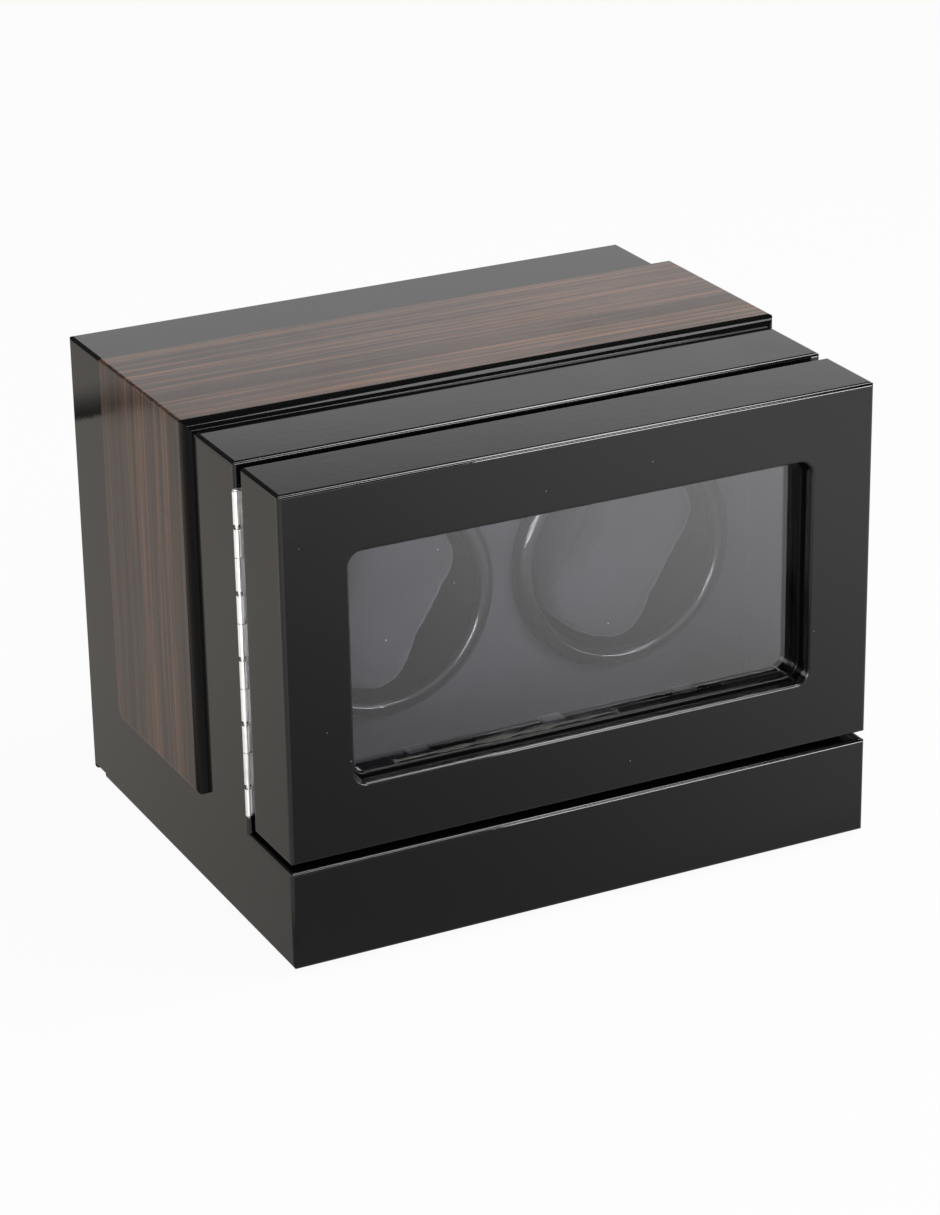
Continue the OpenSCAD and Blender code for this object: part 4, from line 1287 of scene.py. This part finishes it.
@dataclass
class Studio:
    """Pale floor, a room of white panels, soft lamps and the camera.

    A Span field holds the two ends of what is read and the two results there.
    """

    sensor: float = 36.0
    lens: float = 110.84
    far: float = 50.0
    azimuth: float = math.radians(-26.41)
    elevation: float = math.radians(22.82)
    roll: float = math.radians(-0.98)
    eye: Place = (-0.5661, -1.1426, 0.6168)
    aim: Place = (0.0, 0.0, 0.09)
    floor_size: float = 14.0
    floor_colour: Colour = (0.8, 0.8, 0.8)
    white_share: float = 0.95
    # The floor's glossy emission below paints light and shade for the lacquer to mirror: a painted
    # shadow by the box, a painted pool of light to the front's right, a painted dark band behind
    # the box and a painted glow at its left front corner.
    front_across: Span = (-0.08, 0.34, 0.30, 0.98)
    front_along: Span = (-0.5, -0.15, 0.12, 0.0)
    side_along: Span = (-0.1, 0.25, 0.37, 0.50)
    # Painted dark reflection: a dark band across the floor's glossy emission behind the box.
    painted_band_drop: Span = (0.468, 0.476, 1.0, 0.15)
    painted_band_rise: Span = (0.476, 0.525, 0.0, 0.75)
    side_zone: Span = (-0.13, -0.05, 0.0, 1.0)
    # Warm tint of the painted side reflection, and the painted glow in the wedge at the box's left
    # front corner.
    side_tint: Colour = (1.0, 0.94, 0.87)
    corner: tuple[float, float] = (-0.118, -0.094)
    corner_slope: float = 2.02
    corner_fade: tuple[float, float] = (0.11, 0.05)
    corner_glow: float = 2.4
    room_grey: float = 0.336
    panels: int = 4
    panel_white: float = 0.848
    panel_sides: Span = (-0.75, -0.35, 0.0, 1.0)
    panel_rise: Span = (math.sin(math.radians(18.4)), math.sin(math.radians(23.6)), 1.0, 0.0)
    gap_grey: float = 0.08
    lamps: tuple[Lamp, ...] = (
        Lamp("overhead", (0.56, -0.26, 1.25), (0.55, 0.32), 7.8),
        Lamp("front", (0.45, -1.0, 0.85), (0.5, 0.12), 3.2),
        Lamp("left", (-0.55, -1.0, 0.22), (0.2, 0.4), 1.3),
        Lamp("right", (0.75, -0.75, 0.13), (0.2, 0.25), 0.8),
        Lamp("front_strip", (0.54, -1.0, 0.21), (0.3, 0.18), 4.2, gloss_only=True),
        Lamp("left_strip", (-0.6, -1.0, 0.22), (0.75, 0.4), 8.0, gloss_only=True))

    def floor(self) -> None:
        """Lays the floor: white where it is looked at, with the soft shadow kept."""
        mesh = bpy.data.meshes.new("floor")
        half = self.floor_size / 2
        mesh.from_pydata([(-half, -half, 0), (half, -half, 0), (half, half, 0),
                          (-half, half, 0)], [], [(0, 1, 2, 3)])
        linked("floor", mesh)
        material = bpy.data.materials.new("pale_floor")
        material.use_nodes = True
        material.node_tree.nodes.clear()
        graph = Graph(material.node_tree)
        diffuse = graph.add("BsdfDiffuse", {"Color": self.floor_colour}).outputs[0]
        path = graph.add("LightPath").outputs
        seen = graph.math("MAXIMUM", path["Is Camera Ray"], path["Is Transmission Ray"])
        looked_at = graph.either(graph.times(seen, self.white_share), diffuse,
                                 graph.add("Emission").outputs[0])
        shown = graph.either(path["Is Glossy Ray"], looked_at, self.mirrored(graph))
        graph.add("OutputMaterial", {"Surface": shown})
        mesh.materials.append(material)

    def mirrored(self, graph: Graph) -> Socket:
        """The table as lacquer mirrors it.

        It carries a painted shadow by the box, a painted pool of light to the front's right,
        and a painted glow, brighter still, where only the rounded edges and the hinge at the
        box's left front corner mirror it. A painted dark band lies across it behind the box.

        Args:
            graph: The floor's tree.

        Returns:
            The shader.
        """
        across, along, _ = graph.split(graph.add("NewGeometry").outputs["Position"])
        # Painted light and shade in the floor's glossy emission: darker by the box, brighter to
        # the front's right and towards the rear beside the box's left side.
        front = graph.plus(graph.span(across, *self.front_across),
                           graph.span(along, *self.front_along))
        # Painted dark reflection: the floor's glossy emission drops to a dark band behind the box,
        # then rises again.
        painted_dark_band = graph.plus(graph.span(along, *self.painted_band_drop),
                               graph.span(along, *self.painted_band_rise))
        beside = graph.times(graph.span(along, *self.side_along), painted_dark_band)
        zone = graph.span(along, *self.side_zone)
        # Painted glow: the wedge at the box's left front corner, which only the rounded edges and
        # the hinge mirror, is brighter by corner_glow.
        past = graph.plus(along, graph.times(across, self.corner_slope))
        line = self.corner[1] + self.corner_slope * self.corner[0]
        shade = graph.span(past, line - self.corner_fade[0], line - self.corner_fade[1],
                           self.corner_glow, 1.0)
        # The floor's glossy emission beside the box is tinted warm, a painted warm reflection on
        # the left faces and the hinge.
        return graph.add("Emission", {
            "Color": graph.mix(zone, (1.0, 1.0, 1.0), self.side_tint),
            "Strength": graph.times(graph.choose(zone, front, beside), shade)}).outputs[0]

    def world(self) -> None:
        """Hangs white panels round the room for gloss, over an even grey that lights it."""
        world = bpy.data.worlds.new("studio")
        bpy.context.scene.world = world
        world.use_nodes = True
        world.node_tree.nodes.clear()
        graph = Graph(world.node_tree)
        path = graph.add("LightPath").outputs
        x, y, z = graph.split(graph.add("TexCoord").outputs["Generated"])
        turn = graph.plus(graph.math("ARCTAN2", x, y), self.azimuth)
        sides = graph.span(graph.math("COSINE", graph.times(turn, self.panels)),
                           *self.panel_sides)
        panel = graph.times(sides, graph.span(z, *self.panel_rise))
        gloss = graph.plus(graph.times(panel, self.panel_white - self.gap_grey), self.gap_grey)
        lit = graph.choose(path["Is Glossy Ray"], self.room_grey, gloss)
        through = graph.math("MAXIMUM", path["Is Camera Ray"], path["Is Transmission Ray"])
        back = graph.add("Background", {"Color": (1.0, 1.0, 1.0),
                                        "Strength": graph.choose(through, lit, 1.0)})
        graph.add("OutputWorld", {"Surface": back.outputs[0]})

    def camera(self) -> None:
        """Sets the camera at its eye, turned by its three angles."""
        data = bpy.data.cameras.new("camera")
        data.sensor_fit = "AUTO"
        data.sensor_width = self.sensor
        data.lens = self.lens
        data.clip_end = self.far
        back = Vector((math.sin(self.azimuth) * math.cos(self.elevation),
                       -math.cos(self.azimuth) * math.cos(self.elevation),
                       math.sin(self.elevation)))
        right = Vector((math.cos(self.azimuth), math.sin(self.azimuth), 0.0))
        up = back.cross(right)
        tilted_right = math.cos(self.roll) * right + math.sin(self.roll) * up
        tilted_up = math.cos(self.roll) * up - math.sin(self.roll) * right
        camera = linked("camera", data)
        camera.matrix_world = Matrix.Translation(self.eye) @ Matrix(
            (tilted_right, tilted_up, back)).transposed().to_4x4()
        bpy.context.scene.camera = camera

    def build(self) -> None:
        """Sets up the whole studio."""
        bpy.context.scene.view_settings.view_transform = "Standard"
        self.floor()
        self.world()
        self.camera()
        for lamp in self.lamps:
            lamp.build(Vector(self.aim))
        LOG.info("studio ready")


def main() -> None:
    """Builds the studio and every sub-assembly in order."""
    logging.basicConfig(level=logging.INFO, format="%(name)s: %(message)s")
    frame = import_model()
    Studio().build()
    table = finishes()
    groups = [Case(frame, table), VeneerBand(frame, table), Door(frame, table),
              PianoHinge(frame, table), GearTrain(frame, table), RearPanel(frame, table),
              *(CupStation(frame, table, side=side) for side in Side)]
    dressed = {name for group in groups for name in group.run()}
    for name in sorted(set(frame["nodes"]) - dressed):
        LOG.warning("%s has no finish", name)


if __name__ == "__main__":
    main()
